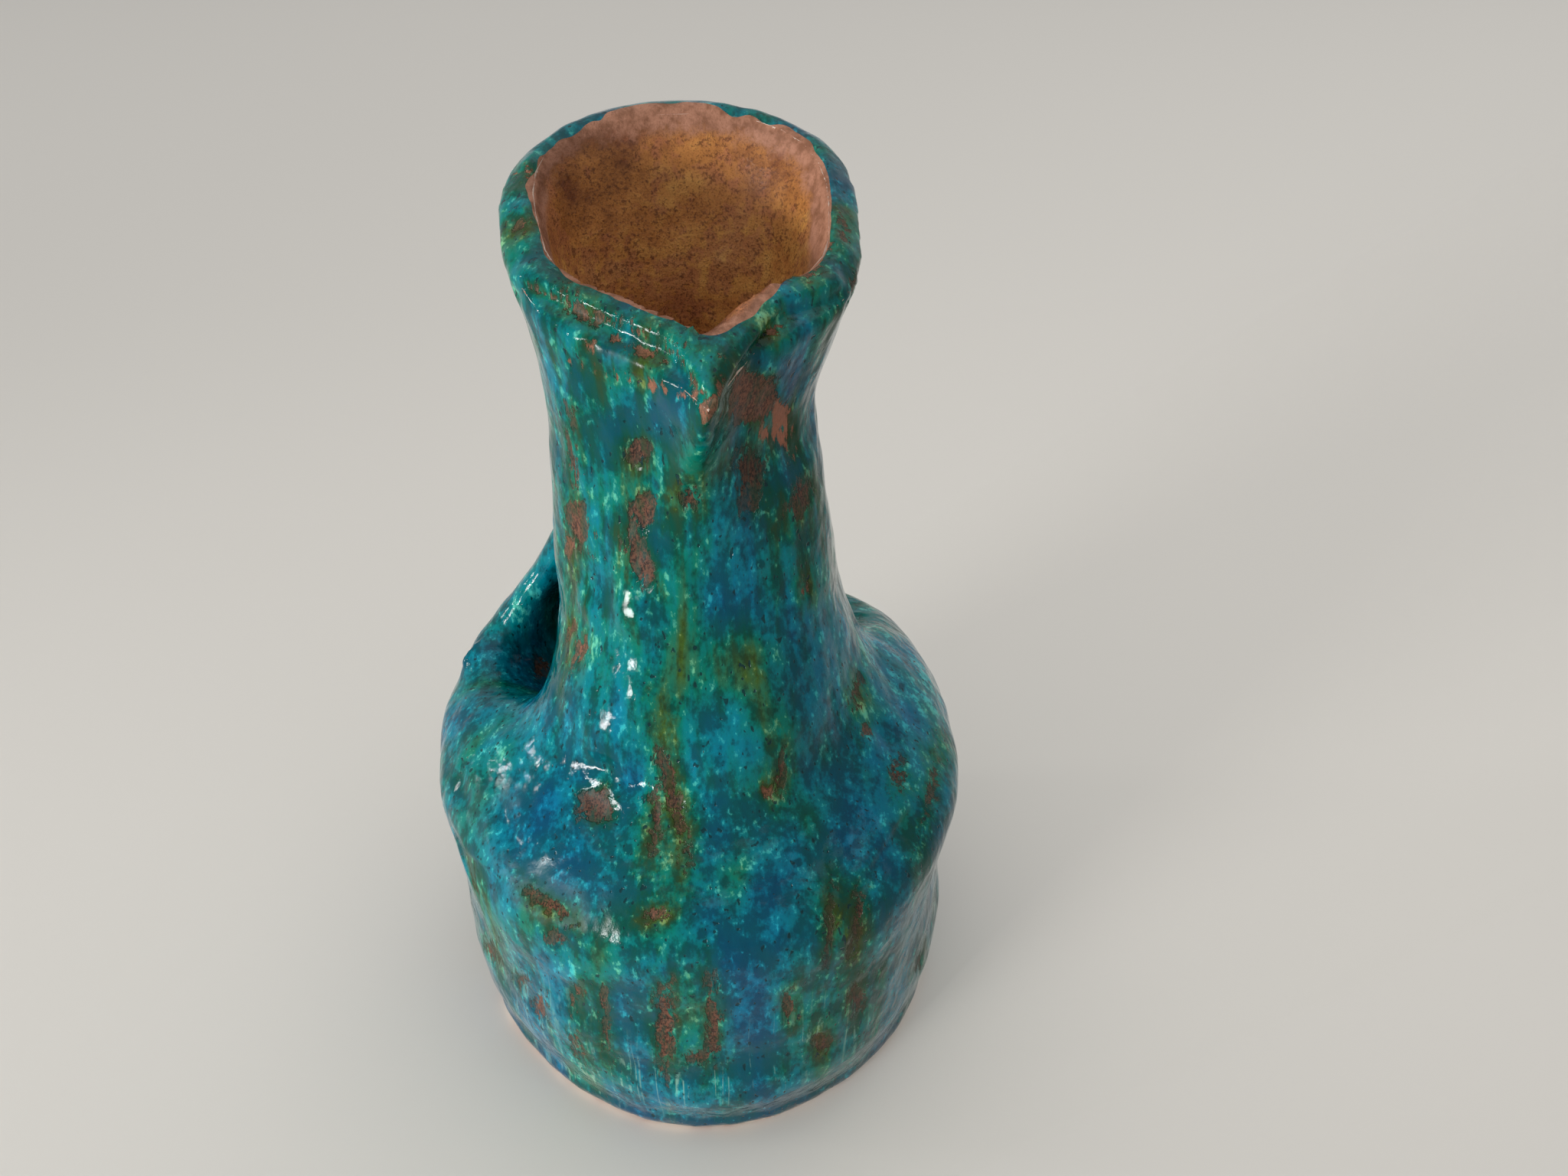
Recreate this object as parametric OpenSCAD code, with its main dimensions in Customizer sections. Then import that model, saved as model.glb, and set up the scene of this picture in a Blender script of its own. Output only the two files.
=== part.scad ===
// Hand-built bird vase: a slab-and-ring body, a drawn neck with a beaked mouth, a broad back
// handle over a finger gap, a glaze coat outside and an ochre wash inside.
// Origin at the middle of the foot, +Z up, beak towards -Y.

/* [Body] */
// Width of the foot
foot_d = 160; // [140:1:190]
// Width of the low swell above the foot
swell_d = 170; // [150:1:195]
// Width of the waist
waist_d = 168; // [150:1:195]
// Width of the belly, the widest place
belly_d = 173; // [160:1:212]
// Thickness of the base slab
slab_t = 9; // [6:0.5:14]
// Height of the lower wall
lower_h = 41; // [30:1:55]
// Height of the upper wall, up to the belly
upper_h = 46; // [30:1:55]
// Height of the shoulder, from the belly to the root of the neck
shoulder_h = 54; // [48:1:75]
// How far the front of the shoulder is drawn in
front_draw = 7; // [0:0.5:12]

/* [Neck and mouth] */
// Width of the neck at its root
root_d = 98; // [90:1:120]
// Width of the neck at its narrowest
neck_d = 71; // [60:0.5:88]
// Height of the neck, from its root to the throat
neck_h = 88; // [80:1:120]
// Height of the lip above the throat, on the axis
lip_h = 44; // [36:1:54]
// Width of the mouth over the rim
mouth_d = 89; // [80:1:110]
// Rise of the rim per millimetre towards the back
rim_slope = 0.36; // [0:0.02:0.5]
// Fall of the rim from its inner to its outer edge
rim_fall = 4.5; // [0:0.5:6]
// How far the beak's tip stands out past the rim
beak_reach = 11; // [4:0.5:14]
// Half the angle that the beak takes up
beak_half = 15; // [10:1:25]
// How far the cheeks beside the beak are pinched in
cheek_pinch = 7; // [0:0.5:9]
// How far the mouth's back corners stand out
corner_reach = 8.5; // [3:0.5:11]
// How far the mouth's back is flattened
back_flat = 3.5; // [0:0.5:5]
// How far the throat leans towards -X
neck_lean = 4; // [0:0.5:5]

/* [Walls and coats] */
// Thickness of the clay wall
wall = 8; // [6:0.5:10]
// Thickness of the glaze
glaze_t = 1; // [0.6:0.1:1.5]
// Thickness of the wash inside
wash_t = 0.8; // [0.5:0.1:1.5]
// Height of bare clay below the glaze's edge at the foot
foot_bare = 2.5; // [1:0.5:5]
// Width of bare clay around the inside of the rim
rim_bare = 1.5; // [0.5:0.5:3]
// Share of the lip's inside that the wash leaves bare
wash_stop = 0.2; // [0.1:0.05:0.6]

/* [Handle and finger gap] */
// Turn of the handle away from the line of the beak
handle_turn = 15; // [0:1:20]
// Thickness of the handle
handle_t = 11; // [8:0.5:14]
// Height of the handle's head above the root of the neck
handle_rise = 48; // [40:1:60]
// Height of the handle's knee above the gap's floor
knee_rise = 18; // [14:1:24]
// How far the handle's knee lies inside the belly
knee_in = 9.5; // [6:0.5:14]
// Half angle of the handle at its foot
foot_half = 60; // [50:1:70]
// Half angle of the handle at its head
head_half = 28; // [20:1:35]
// Height of the gap's floor above the belly
gap_floor = 11; // [10:1:18]
// Height of the shoulder's crest outside the gap, above its floor
gap_crest = 13; // [8:0.5:16]
// Angle from the handle's middle at which the gap is at its full depth
gap_near = 42; // [36:1:60]
// Angle from the handle's middle at which the gap has died out, at its crest
gap_far = 71; // [64:1:95]
// Angle from the handle's middle at which the gap has died out, at the neck
gap_neck_far = 100; // [90:1:115]
// Width of the shoulder's crest outside the gap
crest_w = 17; // [8:1:20]

/* [Hand work] */
// Height of the wall's soft lumps
lump = 1.1; // [0:0.1:2]
// Depth of the pressed dents
dent = 6; // [0:0.5:9]

/* [Hidden] */

// Joint heights, on the axis
z_waist = slab_t + lower_h;
z_belly = z_waist + upper_h;
z_root = z_belly + shoulder_h;
z_throat = z_root + neck_h;
z_rim = z_throat + lip_h;

// Radii at the joints
foot_r = foot_d / 2;
waist_r = waist_d / 2;
belly_r = belly_d / 2;
root_r = root_d / 2;
neck_r = neck_d / 2;
mouth_r = mouth_d / 2;

// How roundly the shoulder closes, how soon the neck is drawn in, and how the lip flares
shoulder_round = 1.3;
neck_draw = 2.3;
lip_flare = 1.3;

// Stations along the wall, one per point of the lines below, at which the clay pieces meet
t_foot = 0;
t_waist = 2;
t_belly = 3;
t_root = 7;
t_throat = 11;
t_rim = 13;
t_wash = t_rim - wash_stop * (t_rim - t_throat);

// Rings between the stations, and points around a ring
lower_rings = 5;
upper_rings = 4;
shoulder_rings = 10;
neck_rings = 9;
lip_rings = 5;
sectors = 36;

function mix(a, b, f) = a + (b - a) * f;
function clamp01(f) = max(0, min(1, f));
function ease(f) = let (c = clamp01(f)) c * c * (3 - 2 * c);
function bump(d, width) = exp(-pow(d / width, 2));
function off_angle(a, b) = abs(a - b - 360 * round((a - b) / 360));

// Outline of the wall at the sides and front, as [radius, height]
function shoulder_point(f) = [
  mix(belly_r, root_r, pow(ease(f), shoulder_round)),
  z_belly + f * shoulder_h
];
function neck_point(f) = [
  mix(root_r, neck_r, 1 - pow(1 - f, neck_draw)),
  z_root + f * neck_h
];
function lip_point(f) = [
  mix(neck_r, mouth_r, pow(f, lip_flare)),
  z_throat + f * lip_h
];
body_line = [
  [foot_r, slab_t],
  [swell_d / 2, slab_t + lower_h / 2],
  [waist_r, z_waist],
  [belly_r, z_belly]
];
neck_line = [
  for (f = [0.3, 0.58, 0.84, 1])
    neck_point(f)
];
lip_line = [
  for (f = [0.5, 1])
    lip_point(f)
];
side_line = concat(
  body_line,
  [
    for (f = [0.23, 0.48, 0.74, 1])
      shoulder_point(f)
  ],
  neck_line,
  lip_line
);

// Outline of the wall at the back, where the shoulder sinks into the finger gap
gap_z = z_belly + gap_floor;
gap_root_r = root_r - wall;
crest_r = belly_r - crest_w;
pit_share = 0.36;
pit_wall_share = 0.7;
back_swell = 5;
back_rise = 4;
back_line = concat(
  body_line,
  [
    [belly_r, gap_z - gap_crest / 8],
    [crest_r, gap_z + gap_crest],
    [mix(gap_root_r, crest_r, pit_share), gap_z],
    [gap_root_r, gap_z + gap_crest * pit_wall_share],
    [neck_r + back_swell, z_root + back_rise]
  ],
  [
    for (i = [1 : len(neck_line) - 1])
      neck_line[i]
  ],
  lip_line
);

// Point at station t on a smooth curve through a line's points
function last(line) = len(line) - 1;
function curve(line, t) =
  let (
    i = max(0, min(last(line) - 1, floor(t))),
    f = t - i,
    p0 = line[max(0, i - 1)],
    p1 = line[i],
    p2 = line[i + 1],
    p3 = line[min(last(line), i + 2)],
    m1 = (p2 - p0) / 2,
    m2 = (p3 - p1) / 2
  )
  (2 * f * f * f - 3 * f * f + 1) * p1 + (f * f * f - 2 * f * f + f) * m1
  + (3 * f * f - 2 * f * f * f) * p2 + (f * f * f - f * f) * m2;

// Azimuth a is 0 at the beak and grows towards +X
handle_a = 180 + handle_turn;
function gap_end(t) = mix(gap_far, gap_neck_far, ease((t - t_belly) / (t_root - t_belly)));
function gap_share(a, t) = ease((gap_end(t) - off_angle(a, handle_a)) / (gap_end(t) - gap_near));

// Hand work: dents pressed in or, where the depth is negative, pushed out from inside, as
// [azimuth, station, depth, angle, stations], and soft lumps
dents = [
  [76, 2.2, dent, 26, 0.8],
  [-62, 2.1, dent / 2, 22, 0.6],
  [20, 4.6, dent / 3, 20, 0.7],
  [150, 2, dent / 2, 30, 0.7],
  [-140, 1.2, dent / 2, 28, 0.6],
  [-117, 5, -dent * 0.8, 26, 1],
  [-85, 8.6, -dent / 3, 30, 1.2],
  [122, 4.9, -dent / 2, 26, 0.9]
];
function pressed(a, t, i = 0) =
  i == len(dents) ? 0
  : dents[i][2] * bump(off_angle(a, dents[i][0]), dents[i][3]) * bump(t - dents[i][1], dents[i][4])
    + pressed(a, t, i + 1);
function lumps(a, t) =
  lump * (sin(3 * a + 50 * t) * sin(64 * t + 20) + 0.7 * sin(5 * a - 75 * t + 130));

// The outside falls below the inside towards the rim, so that the rim is cut square to the flared lip
function fall_share(t) = clamp01((t - t_throat) / (t_rim - t_throat));

// Change of radius that gives the mouth its beak, cheeks and corners
function lip_share(t) = ease((t - t_throat + 1) / (t_rim - t_throat + 1));
function beak(a, reach) = reach * max(0, 1 - off_angle(a, 0) / beak_half);
cheek_a = 33;
cheek_spread = 28;
side_a = 85;
corner_a = 138;
flat_spread = 26;
function cheek(a) = cheek_pinch * bump(off_angle(a, 0) - cheek_a, cheek_spread);
function corner(a) = corner_reach * ease((off_angle(a, 0) - side_a) / (corner_a - side_a));
function mouth_form(a, reach) =
  beak(a, reach) - cheek(a) + corner(a) - back_flat * bump(off_angle(a, 180), flat_spread);

// How far the front of the shoulder is drawn in
t_front = mix(t_belly, t_root, 0.55);
front_spread = 55;
front_stations = 1.3;
function front_form(a, t) =
  front_draw * bump(off_angle(a, 0), front_spread) * bump(t - t_front, front_stations);

// Glaze surface as [radius, height], before the rim is tilted
function skin_rz(a, t) =
  mix(curve(side_line, t), curve(back_line, t), gap_share(a, t))
  + [lip_share(t) * mouth_form(a, beak_reach)
     + lumps(a, t) - pressed(a, t) - front_form(a, t), -rim_fall * fall_share(t)];

// Direction out of the wall; level where the foot and the rim are cut flat
step_t = 0.05;
function outward(a, t) =
  t <= t_foot || t >= t_rim ? [1, 0]
  : let (
      d = skin_rz(a, t + step_t) - skin_rz(a, t - step_t)
    )
    [d[1], -d[0]] / norm(d);
function clay_rz(a, t) = skin_rz(a, t) - glaze_t * outward(a, t);

// Inside of the clay: the lines moved in by the wall, so that tight corners stay round
function moved_in(line) = [
  for (i = [0 : last(line)])
    let (
      d = line[min(last(line), i + 1)] - line[max(0, i - 1)],
      n = i == 0 || i == last(line) ? [1, 0] : [d[1], -d[0]] / norm(d)
    )
    line[i] - (wall + glaze_t) * n
];
side_inside = moved_in(side_line);
back_inside = moved_in(back_line);
inner_beak = beak_reach / 4;
function inner_rz(a, t) =
  mix(curve(side_inside, t), curve(back_inside, t), gap_share(a, t))
  + [lip_share(t) * mouth_form(a, inner_beak) - pressed(a, t) - front_form(a, t), 0];
function wash_rz(a, t) =
  t <= t_foot ? inner_rz(a, t) + [-wash_t, wash_t]
  : let (
      d = inner_rz(a, t + step_t) - inner_rz(a, t - step_t)
    )
    inner_rz(a, t) - wash_t * [d[1], -d[0]] / norm(d);

// Point in space; the tilt of the rim dies out down the neck, and the lean above and below the throat
t_level = 8;
lean_stations = 1.6;
function tilt(t) = rim_slope * ease((t - t_level) / (t_rim - t_level));
function lean(t) = neck_lean * bump(t - t_throat, lean_stations);
function in_space(a, t, rz, lift = 0) =
  let (
    x = rz[0] * sin(a),
    y = -rz[0] * cos(a)
  )
  [x - lean(t), y, rz[1] + tilt(t) * y + lift];

around = [
  for (s = [0 : sectors - 1])
    s * 360 / sectors
];
function stations(t0, t1, rings) = [
  for (i = [0 : rings])
    mix(t0, t1, i / rings)
];
all_stations = concat(
  stations(t_foot, t_waist, lower_rings),
  [
    for (i = [1 : upper_rings])
      mix(t_waist, t_belly, i / upper_rings)
  ],
  [
    for (i = [1 : shoulder_rings])
      mix(t_belly, t_root, i / shoulder_rings)
  ],
  [
    for (i = [1 : neck_rings])
      mix(t_root, t_throat, i / neck_rings)
  ],
  [
    for (i = [1 : lip_rings])
      mix(t_throat, t_rim, i / lip_rings)
  ]
);

function skin_ring(t, lift = 0) = [for (a = around) in_space(a, t, skin_rz(a, t), lift)];
function clay_ring(t, lift = 0) = [for (a = around) in_space(a, t, clay_rz(a, t), lift)];
function inner_ring(t, lift = 0) = [for (a = around) in_space(a, t, inner_rz(a, t), lift)];
function wash_ring(t) = [for (a = around) in_space(a, t, wash_rz(a, t))];
function mouth_ring(t, lift = 0) = [
  for (a = around)
    in_space(a, t, inner_rz(a, t) + [rim_bare, 0], lift)
];

// Faces of the wall between ring k and ring k + 1 of n points each; crossed takes the other diagonal,
// so that two pieces that meet on a surface share its triangles
function wall_faces(k, n, crossed = false) = [
  for (j = [0 : n - 1])
    let (
      a = k * n + j,
      b = k * n + (j + 1) % n
    )
    each crossed ? [[a, a + n, b], [a + n, b + n, b]] : [[a, a + n, b + n], [a, b + n, b]]
];
function reversed(ring) = [for (i = [len(ring) - 1 : -1 : 0]) ring[i]];
function middle(ring) = [for (i = [0 : 2]) [for (p = ring) p[i]] * [for (p = ring) 1] / len(ring)];

// Solid wall from a stack of rings that runs up the outside, down the inside and back to its start
module ring_wall(outer, inner) {
  loop = concat(outer, reversed(inner));
  n = sectors;
  k = len(loop);
  wrap = [
    for (f = [for (i = [0 : k - 1]) each wall_faces(i, n, i == k - 1)])
      [for (v = f) v % (k * n)]
  ];
  polyhedron(points = [for (ring = loop) each ring], faces = wrap, convexity = 8);
}

// Solid from a stack of rings, closed at both ends by a fan about each end's middle
module ring_solid(rings, crossed = false) {
  n = len(rings[0]);
  k = len(rings);
  low = k * n;
  high = low + 1;
  polyhedron(
    points = concat([for (ring = rings) each ring], [middle(rings[0]), middle(rings[k - 1])]),
    faces = concat(
      [for (i = [0 : k - 2]) each wall_faces(i, n, crossed)],
      [for (j = [0 : n - 1]) [low, j, (j + 1) % n]],
      [for (j = [0 : n - 1]) [high, (k - 1) * n + (j + 1) % n, (k - 1) * n + j]]
    ),
    convexity = 8
  );
}

module clay_wall(t0, t1, rings) {
  ts = stations(t0, t1, rings);
  ring_wall([for (t = ts) clay_ring(t)], [for (t = ts) inner_ring(t)]);
}

// Everything inside the clay's outer surface, and a little past the foot
past = 3;
module clay_solid() {
  ring_solid(concat(
    [clay_ring(t_foot, -slab_t - past)],
    [for (t = all_stations) clay_ring(t)],
    [inner_ring(t_rim)]
  ));
}

// Handle: a sheet that fans out from the neck's back to the shoulder, as [radius, height, half angle]
// of its buried foot, its seat, its knee, its middle, its head and its buried end
head_z = z_root + handle_rise;
seat_r = belly_r - handle_t / 2;
seat_z = gap_z - gap_crest / 3;
knee_r = belly_r - knee_in;
knee_z = gap_z + knee_rise;
bury = 4;
knee_share = 0.33;
middle_share = 0.72;
handle_rows = [
  [seat_r - bury, seat_z - handle_t, foot_half + bury],
  [seat_r, seat_z, foot_half + bury / 2],
  [knee_r, knee_z, mix(foot_half, head_half, knee_share)],
  [(knee_r + neck_r) / 2, (knee_z + head_z) / 2, mix(foot_half, head_half, middle_share)],
  [neck_r + bury / 2, head_z, head_half],
  [neck_r - bury, head_z + handle_t, head_half - bury / 2]
];
handle_rings = 14;
handle_points = 20;
edge_round = 0.9;
function signed_pow(v, e) = sign(v) * pow(abs(v), e);
function handle_ring(t, grow) =
  let (
    p = curve(handle_rows, t),
    d = curve(handle_rows, t + step_t) - curve(handle_rows, t - step_t),
    n = [d[1], -d[0]] / norm([d[0], d[1]]),
    half_angle = p[2] + grow / p[0] * 180 / PI
  )
  [
    for (s = [0 : handle_points - 1])
      let (
        c = s * 360 / handle_points,
        out = (handle_t / 2 + grow) * signed_pow(sin(c), edge_round),
        a = handle_a - half_angle * signed_pow(cos(c), edge_round),
        r = p[0] + out * n[0]
      )
      [r * sin(a), -r * cos(a), p[1] + out * n[1]]
  ];
module handle_solid(grow = 0) {
  ts = stations(0, last(handle_rows), handle_rings);
  ring_solid([for (t = ts) handle_ring(t, grow)]);
}

module base_slab() {
  color("peru")
    linear_extrude(slab_t)
      polygon([for (p = clay_ring(t_foot)) [p[0], p[1]]]);
}

module lower_wall() {
  color("rosybrown")
    clay_wall(t_foot, t_waist, lower_rings);
}

module upper_wall() {
  color("tan")
    clay_wall(t_waist, t_belly, upper_rings);
}

module shoulder() {
  color("rosybrown")
    clay_wall(t_belly, t_root, shoulder_rings);
}

module neck() {
  color("tan")
    clay_wall(t_root, t_throat, neck_rings);
}

module beak_lip() {
  color("rosybrown")
    clay_wall(t_throat, t_rim, lip_rings);
}

// A size of zero leaves the cut shape as it is
module back_handle() {
  color("sienna")
    resize([0, 0, 0])
      difference() {
        handle_solid();
        clay_solid();
      }
}

// The glaze lies on the clay from just above the foot to the inside of the rim
module glaze_coat() {
  foot_lift = foot_bare - slab_t;
  skin_rings = concat(
    [skin_ring(t_foot, foot_lift)],
    [for (t = all_stations) skin_ring(t)],
    [mouth_ring(t_rim, glaze_t)]
  );
  mouth_rings = [mouth_ring(t_throat), mouth_ring(t_rim), mouth_ring(t_rim, glaze_t + past)];
  color("darkcyan")
    resize([0, 0, 0])
      difference() {
        union() {
          ring_solid(skin_rings);
          handle_solid(glaze_t);
        }
        clay_solid();
        handle_solid();
        ring_solid(mouth_rings);
      }
}

// The wash lines the floor and the wall up to the bare inside of the lip
module inner_wash() {
  ts = concat([for (t = all_stations) if (t < t_wash - 4 * step_t) t], [t_wash]);
  outer = [for (t = ts) inner_ring(t)];
  inner = [for (t = ts) wash_ring(t)];
  color("darkgoldenrod")
    ring_solid(concat(outer, reversed(inner)), crossed = true);
}

base_slab();
lower_wall();
upper_wall();
shoulder();
neck();
beak_lip();
back_handle();
glaze_coat();
inner_wash();
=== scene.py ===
"""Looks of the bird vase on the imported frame: a glaze skin, an inner skin and a foot over the clay."""

import itertools
import math

import bmesh
import bpy
import numpy as np
from mathutils import Matrix, Quaternion, Vector
from mathutils.bvhtree import BVHTree


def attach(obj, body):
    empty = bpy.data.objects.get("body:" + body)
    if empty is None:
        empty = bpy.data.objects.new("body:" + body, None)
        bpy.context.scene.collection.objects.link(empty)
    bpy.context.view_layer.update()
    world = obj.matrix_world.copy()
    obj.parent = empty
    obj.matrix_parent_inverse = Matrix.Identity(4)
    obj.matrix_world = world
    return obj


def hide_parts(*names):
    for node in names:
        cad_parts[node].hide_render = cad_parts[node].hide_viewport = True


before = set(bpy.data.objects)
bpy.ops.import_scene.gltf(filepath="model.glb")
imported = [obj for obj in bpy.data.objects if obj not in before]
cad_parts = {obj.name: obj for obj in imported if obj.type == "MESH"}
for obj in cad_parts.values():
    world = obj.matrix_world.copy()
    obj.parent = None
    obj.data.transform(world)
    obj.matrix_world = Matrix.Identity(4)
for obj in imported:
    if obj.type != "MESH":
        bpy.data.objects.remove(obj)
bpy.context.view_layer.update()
scene = bpy.context.scene

# Lengths are in millimetres, and the scene is in metres
MM = 0.001
CM = 10.0

# Camera that fits the photo: its place, heading to the right of +Y, pitch down and roll, in degrees
PHOTO_WIDTH = 2048
PHOTO_HEIGHT = 1536
FOCAL_PIXELS = 1600
SENSOR_MM = 36
CAMERA_AT = Vector((-21.1, -293.3, 398.0))
HEADING = 9.0
PITCH = 38.0
ROLL = 1.2
CLIP_START = 0.01

# Clay nodes that stay under the skins
CLAY_NODES = ("lower_wall", "upper_wall", "shoulder", "neck", "beak_lip", "back_handle")

# Skin: grid size, how far it stands clear of the clay, thickness of its pieces and angle of its sharp edges
GRID = 1.1
SKIN_LIFT = 0.45
CLEARANCE = 0.25
CLEARING_PASSES = 2
CLEARING_STEP = 1.0
CLEARING_SPREAD = 3
SKIN_THICKNESS = 1.2
HANDLE_GROWTH = 2.0
FOOT_THICKNESS = 5.0
SHARP_ANGLE = 60.0

# Passes that even out the coats' borders, the facets, the walls, the normals and the pieces' edges
COAT_PASSES = 14
FACET_PASSES = 10
WALL_PASSES = 54
NORMAL_PASSES = 4
BORDER_PASSES = 5

# Depths under the rim and heights on the wall over which the evening sets in
SHARP_LIP = (20, 42)
SHARP_FOOT = (2, 12)
SHARP_GROUND = (-2, 4)

# Clay thumbed into the corner between the handle and the hollow beside the neck: place and radius
THUMBED_CLAY = (
    ((-70.0, 29.0, 118.0), 8.5),
    ((-67.0, 36.0, 121.0), 8.5),
    ((-61.0, 43.0, 121.0), 9.0),
    ((-55.0, 49.0, 120.0), 9.0),
    ((-48.0, 53.0, 119.0), 8.0),
    ((-60.0, 41.0, 131.0), 7.5),
    ((-54.0, 46.0, 133.0), 7.5),
    ((-49.0, 46.0, 144.0), 6.5),
)

# Places where the wall stands out further: place, reach and height
BULGES = (
    ((-77.0, 24.0, 111.0), 16.0, 2.0),
    ((-66.0, 3.0, 124.0), 14.0, 1.5),
    ((-32.0, -40.0, 152.0), 20.0, 4.0),
    ((0.0, -52.0, 150.0), 22.0, 4.0),
    ((82.0, 14.0, 66.0), 16.0, 1.5),
    ((-32.3, -23.5, 183.5), 4.5, 1.6),
    ((-20.2, -33.8, 187.5), 7.0, 2.4),
    ((-19.6, -38.0, 164.0), 7.0, 2.0),
    ((-29.1, -36.7, 150.0), 6.0, 1.2),
)

# Plane of the rim: its height on the axis and its rise towards the back
RIM_HEIGHT = 282.0
RIM_SLOPE = 0.36

# Rim's bare inner edge: sectors round the axis, and how far under the rim it is looked for
RIM_SECTORS = 90
RIM_EDGE_DEPTH = 8.0

# Radius that the wall is unrolled at, how far its places run on across the shoulder, and where it is steep
FLOW_RADIUS = 55.0
FLOW_LEAN = 0.5
STEEP_SPAN = (0.35, 0.8)

# Relief: sizes, stretches and heights of its lumps, dabs and strokes, and where the inside's take over
LUMP_SIZE = 24.0
LUMP_HEIGHT = 0.8
DAB_SIZE = 10.0
DAB_STRETCH = np.array([1.0, 1.0, 1.4])
DAB_SHARE = 0.8
STROKE_SIZE = 5.0
STROKE_STRETCH = np.array([1.0, 1.0, 6.0])
STROKE_SHARE = 0.06
RELIEF_HEIGHT = 0.6
RAGGED_SIZE = 7.0
INNER_LUMP_SIZE = 16.0
INNER_LUMP_HEIGHT = 0.4
OUTSIDE_SPAN = (0.4, 0.6)

# Depth of the bare patches, thickness of the glaze's edge, how ragged and wide these are, and the flat foot
PATCH_DEPTH = 0.45
PATCH_RAGGED = 0.5
PATCH_SPAN = (-0.9, 0.6)
GLAZE_EDGE = 0.35
GLAZE_EDGE_RAGGED = 0.12
GLAZE_EDGE_SPAN = (0.5, 0.8)
FOOT_CALM = 0.5
FOOT_CALM_SPAN = (12, 2)
GROUND_HEIGHT = 1.0

# Share at which a coat gives way to the next one, limits of the wash's share, and how ragged coats end
HALF = 0.5
WASH_LIMITS = (-2, 3)
COAT_RAGGED = 0.10
LIP_RAGGED = 0.22
LIP_RAGGED_FROM = 200
STRIP_RAGGED = 0.6
BEAK_RAGGED = 0.2

# Limits of the bare depth, of the tone with its painted shade and of the brightness with its painted light
# and shade, that the materials read
BARE_LIMIT = 4.0
TONE_LIMIT = 1.2
DARK_LIMIT = -2.0
BRIGHT_LIMIT = 1.6

# Bare patches in the glaze, in photo pixels: across, down, half width, half height, turn, pinkness
BARE_PATCHES = (
    (983, 517, 26, 32, 8, 0.5), (1017, 556, 12, 30, -8, 1.0), (1004, 566, 10, 8, 20, 1.0),
    (833, 592, 17, 17, 0, 0.0), (977, 622, 19, 34, -6, 0.1), (1047, 771, 5, 9, 0, 0.6),
    (747, 712, 6, 10, 0, 0.6), (760, 680, 12, 28, -10, 0.3), (752, 600, 5, 40, -6, 0.2),
    (843, 668, 15, 18, 10, 0.2), (828, 695, 9, 14, 0, 0.2), (838, 728, 14, 30, -20, 0.2),
    (902, 646, 8, 12, 0, 0.1), (1043, 655, 11, 26, 28, 0.2), (924, 539, 6, 7, 0, 0.8),
    (934, 519, 3, 9, 20, 1.0), (763, 852, 9, 14, 30, 0.5), (748, 825, 5, 14, 20, 0.4),
    (779, 1051, 20, 21, 0, 0.1), (882, 1034, 11, 70, -10, 0.1), (857, 1070, 8, 36, 4, 0.1),
    (1014, 1002, 6, 20, 0, 0.1), (1000, 1030, 6, 7, 0, 0.6), (722, 1186, 9, 30, -48, 0.2),
    (728, 1228, 6, 14, -40, 0.3), (654, 1238, 5, 14, -20, 0.2), (788, 1308, 6, 12, 0, 0.3),
    (754, 1300, 5, 10, 0, 0.4), (796, 1347, 5, 18, -5, 0.2), (688, 1276, 5, 10, -20, 0.3),
    (620, 1160, 4, 14, -20, 0.3), (1171, 1012, 8, 18, -10, 0.2), (1214, 1030, 4, 20, 8, 0.3),
    (1115, 900, 5, 14, 10, 0.2), (1128, 958, 4, 7, 0, 0.5), (1194, 1255, 6, 14, 10, 0.2),
    (1082, 1216, 5, 34, 4, 0.0), (1118, 1200, 6, 38, 9, 0.1), (870, 1342, 12, 50, 0, 0.3),
    (931, 1334, 8, 46, -3, 0.2), (918, 1374, 20, 7, 0, 0.2), (1030, 1314, 9, 18, 0, 0.3),
    (1114, 1303, 7, 16, 10, 0.2), (1072, 1360, 10, 12, 20, 0.2), (712, 1309, 7, 14, -15, 0.4),
    (760, 1358, 5, 20, -8, 0.4), (853, 1193, 16, 10, -10, 0.3), (850, 440, 26, 5, 24, 0.5),
    (862, 503, 32, 3, 18, 0.9), (688, 226, 12, 5, 10, 0.9), (681, 294, 9, 7, 0, 0.4),
    (705, 262, 6, 9, 0, 0.3), (745, 388, 8, 5, 30, 0.4), (767, 416, 14, 4, 24, 0.4),
    (808, 445, 10, 5, 25, 0.7), (846, 463, 14, 5, 22, 0.7), (773, 453, 6, 5, 0, 0.8),
    (1058, 362, 12, 7, -40, 0.6), (1084, 324, 7, 9, -20, 0.5), (1102, 300, 5, 12, 0, 0.5),
    (992, 440, 6, 4, 0, 0.4), (1114, 372, 6, 14, 0, 0.4), (1010, 430, 9, 4, -40, 0.7),
    (704, 872, 12, 13, 0, 0.1),
)
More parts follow.
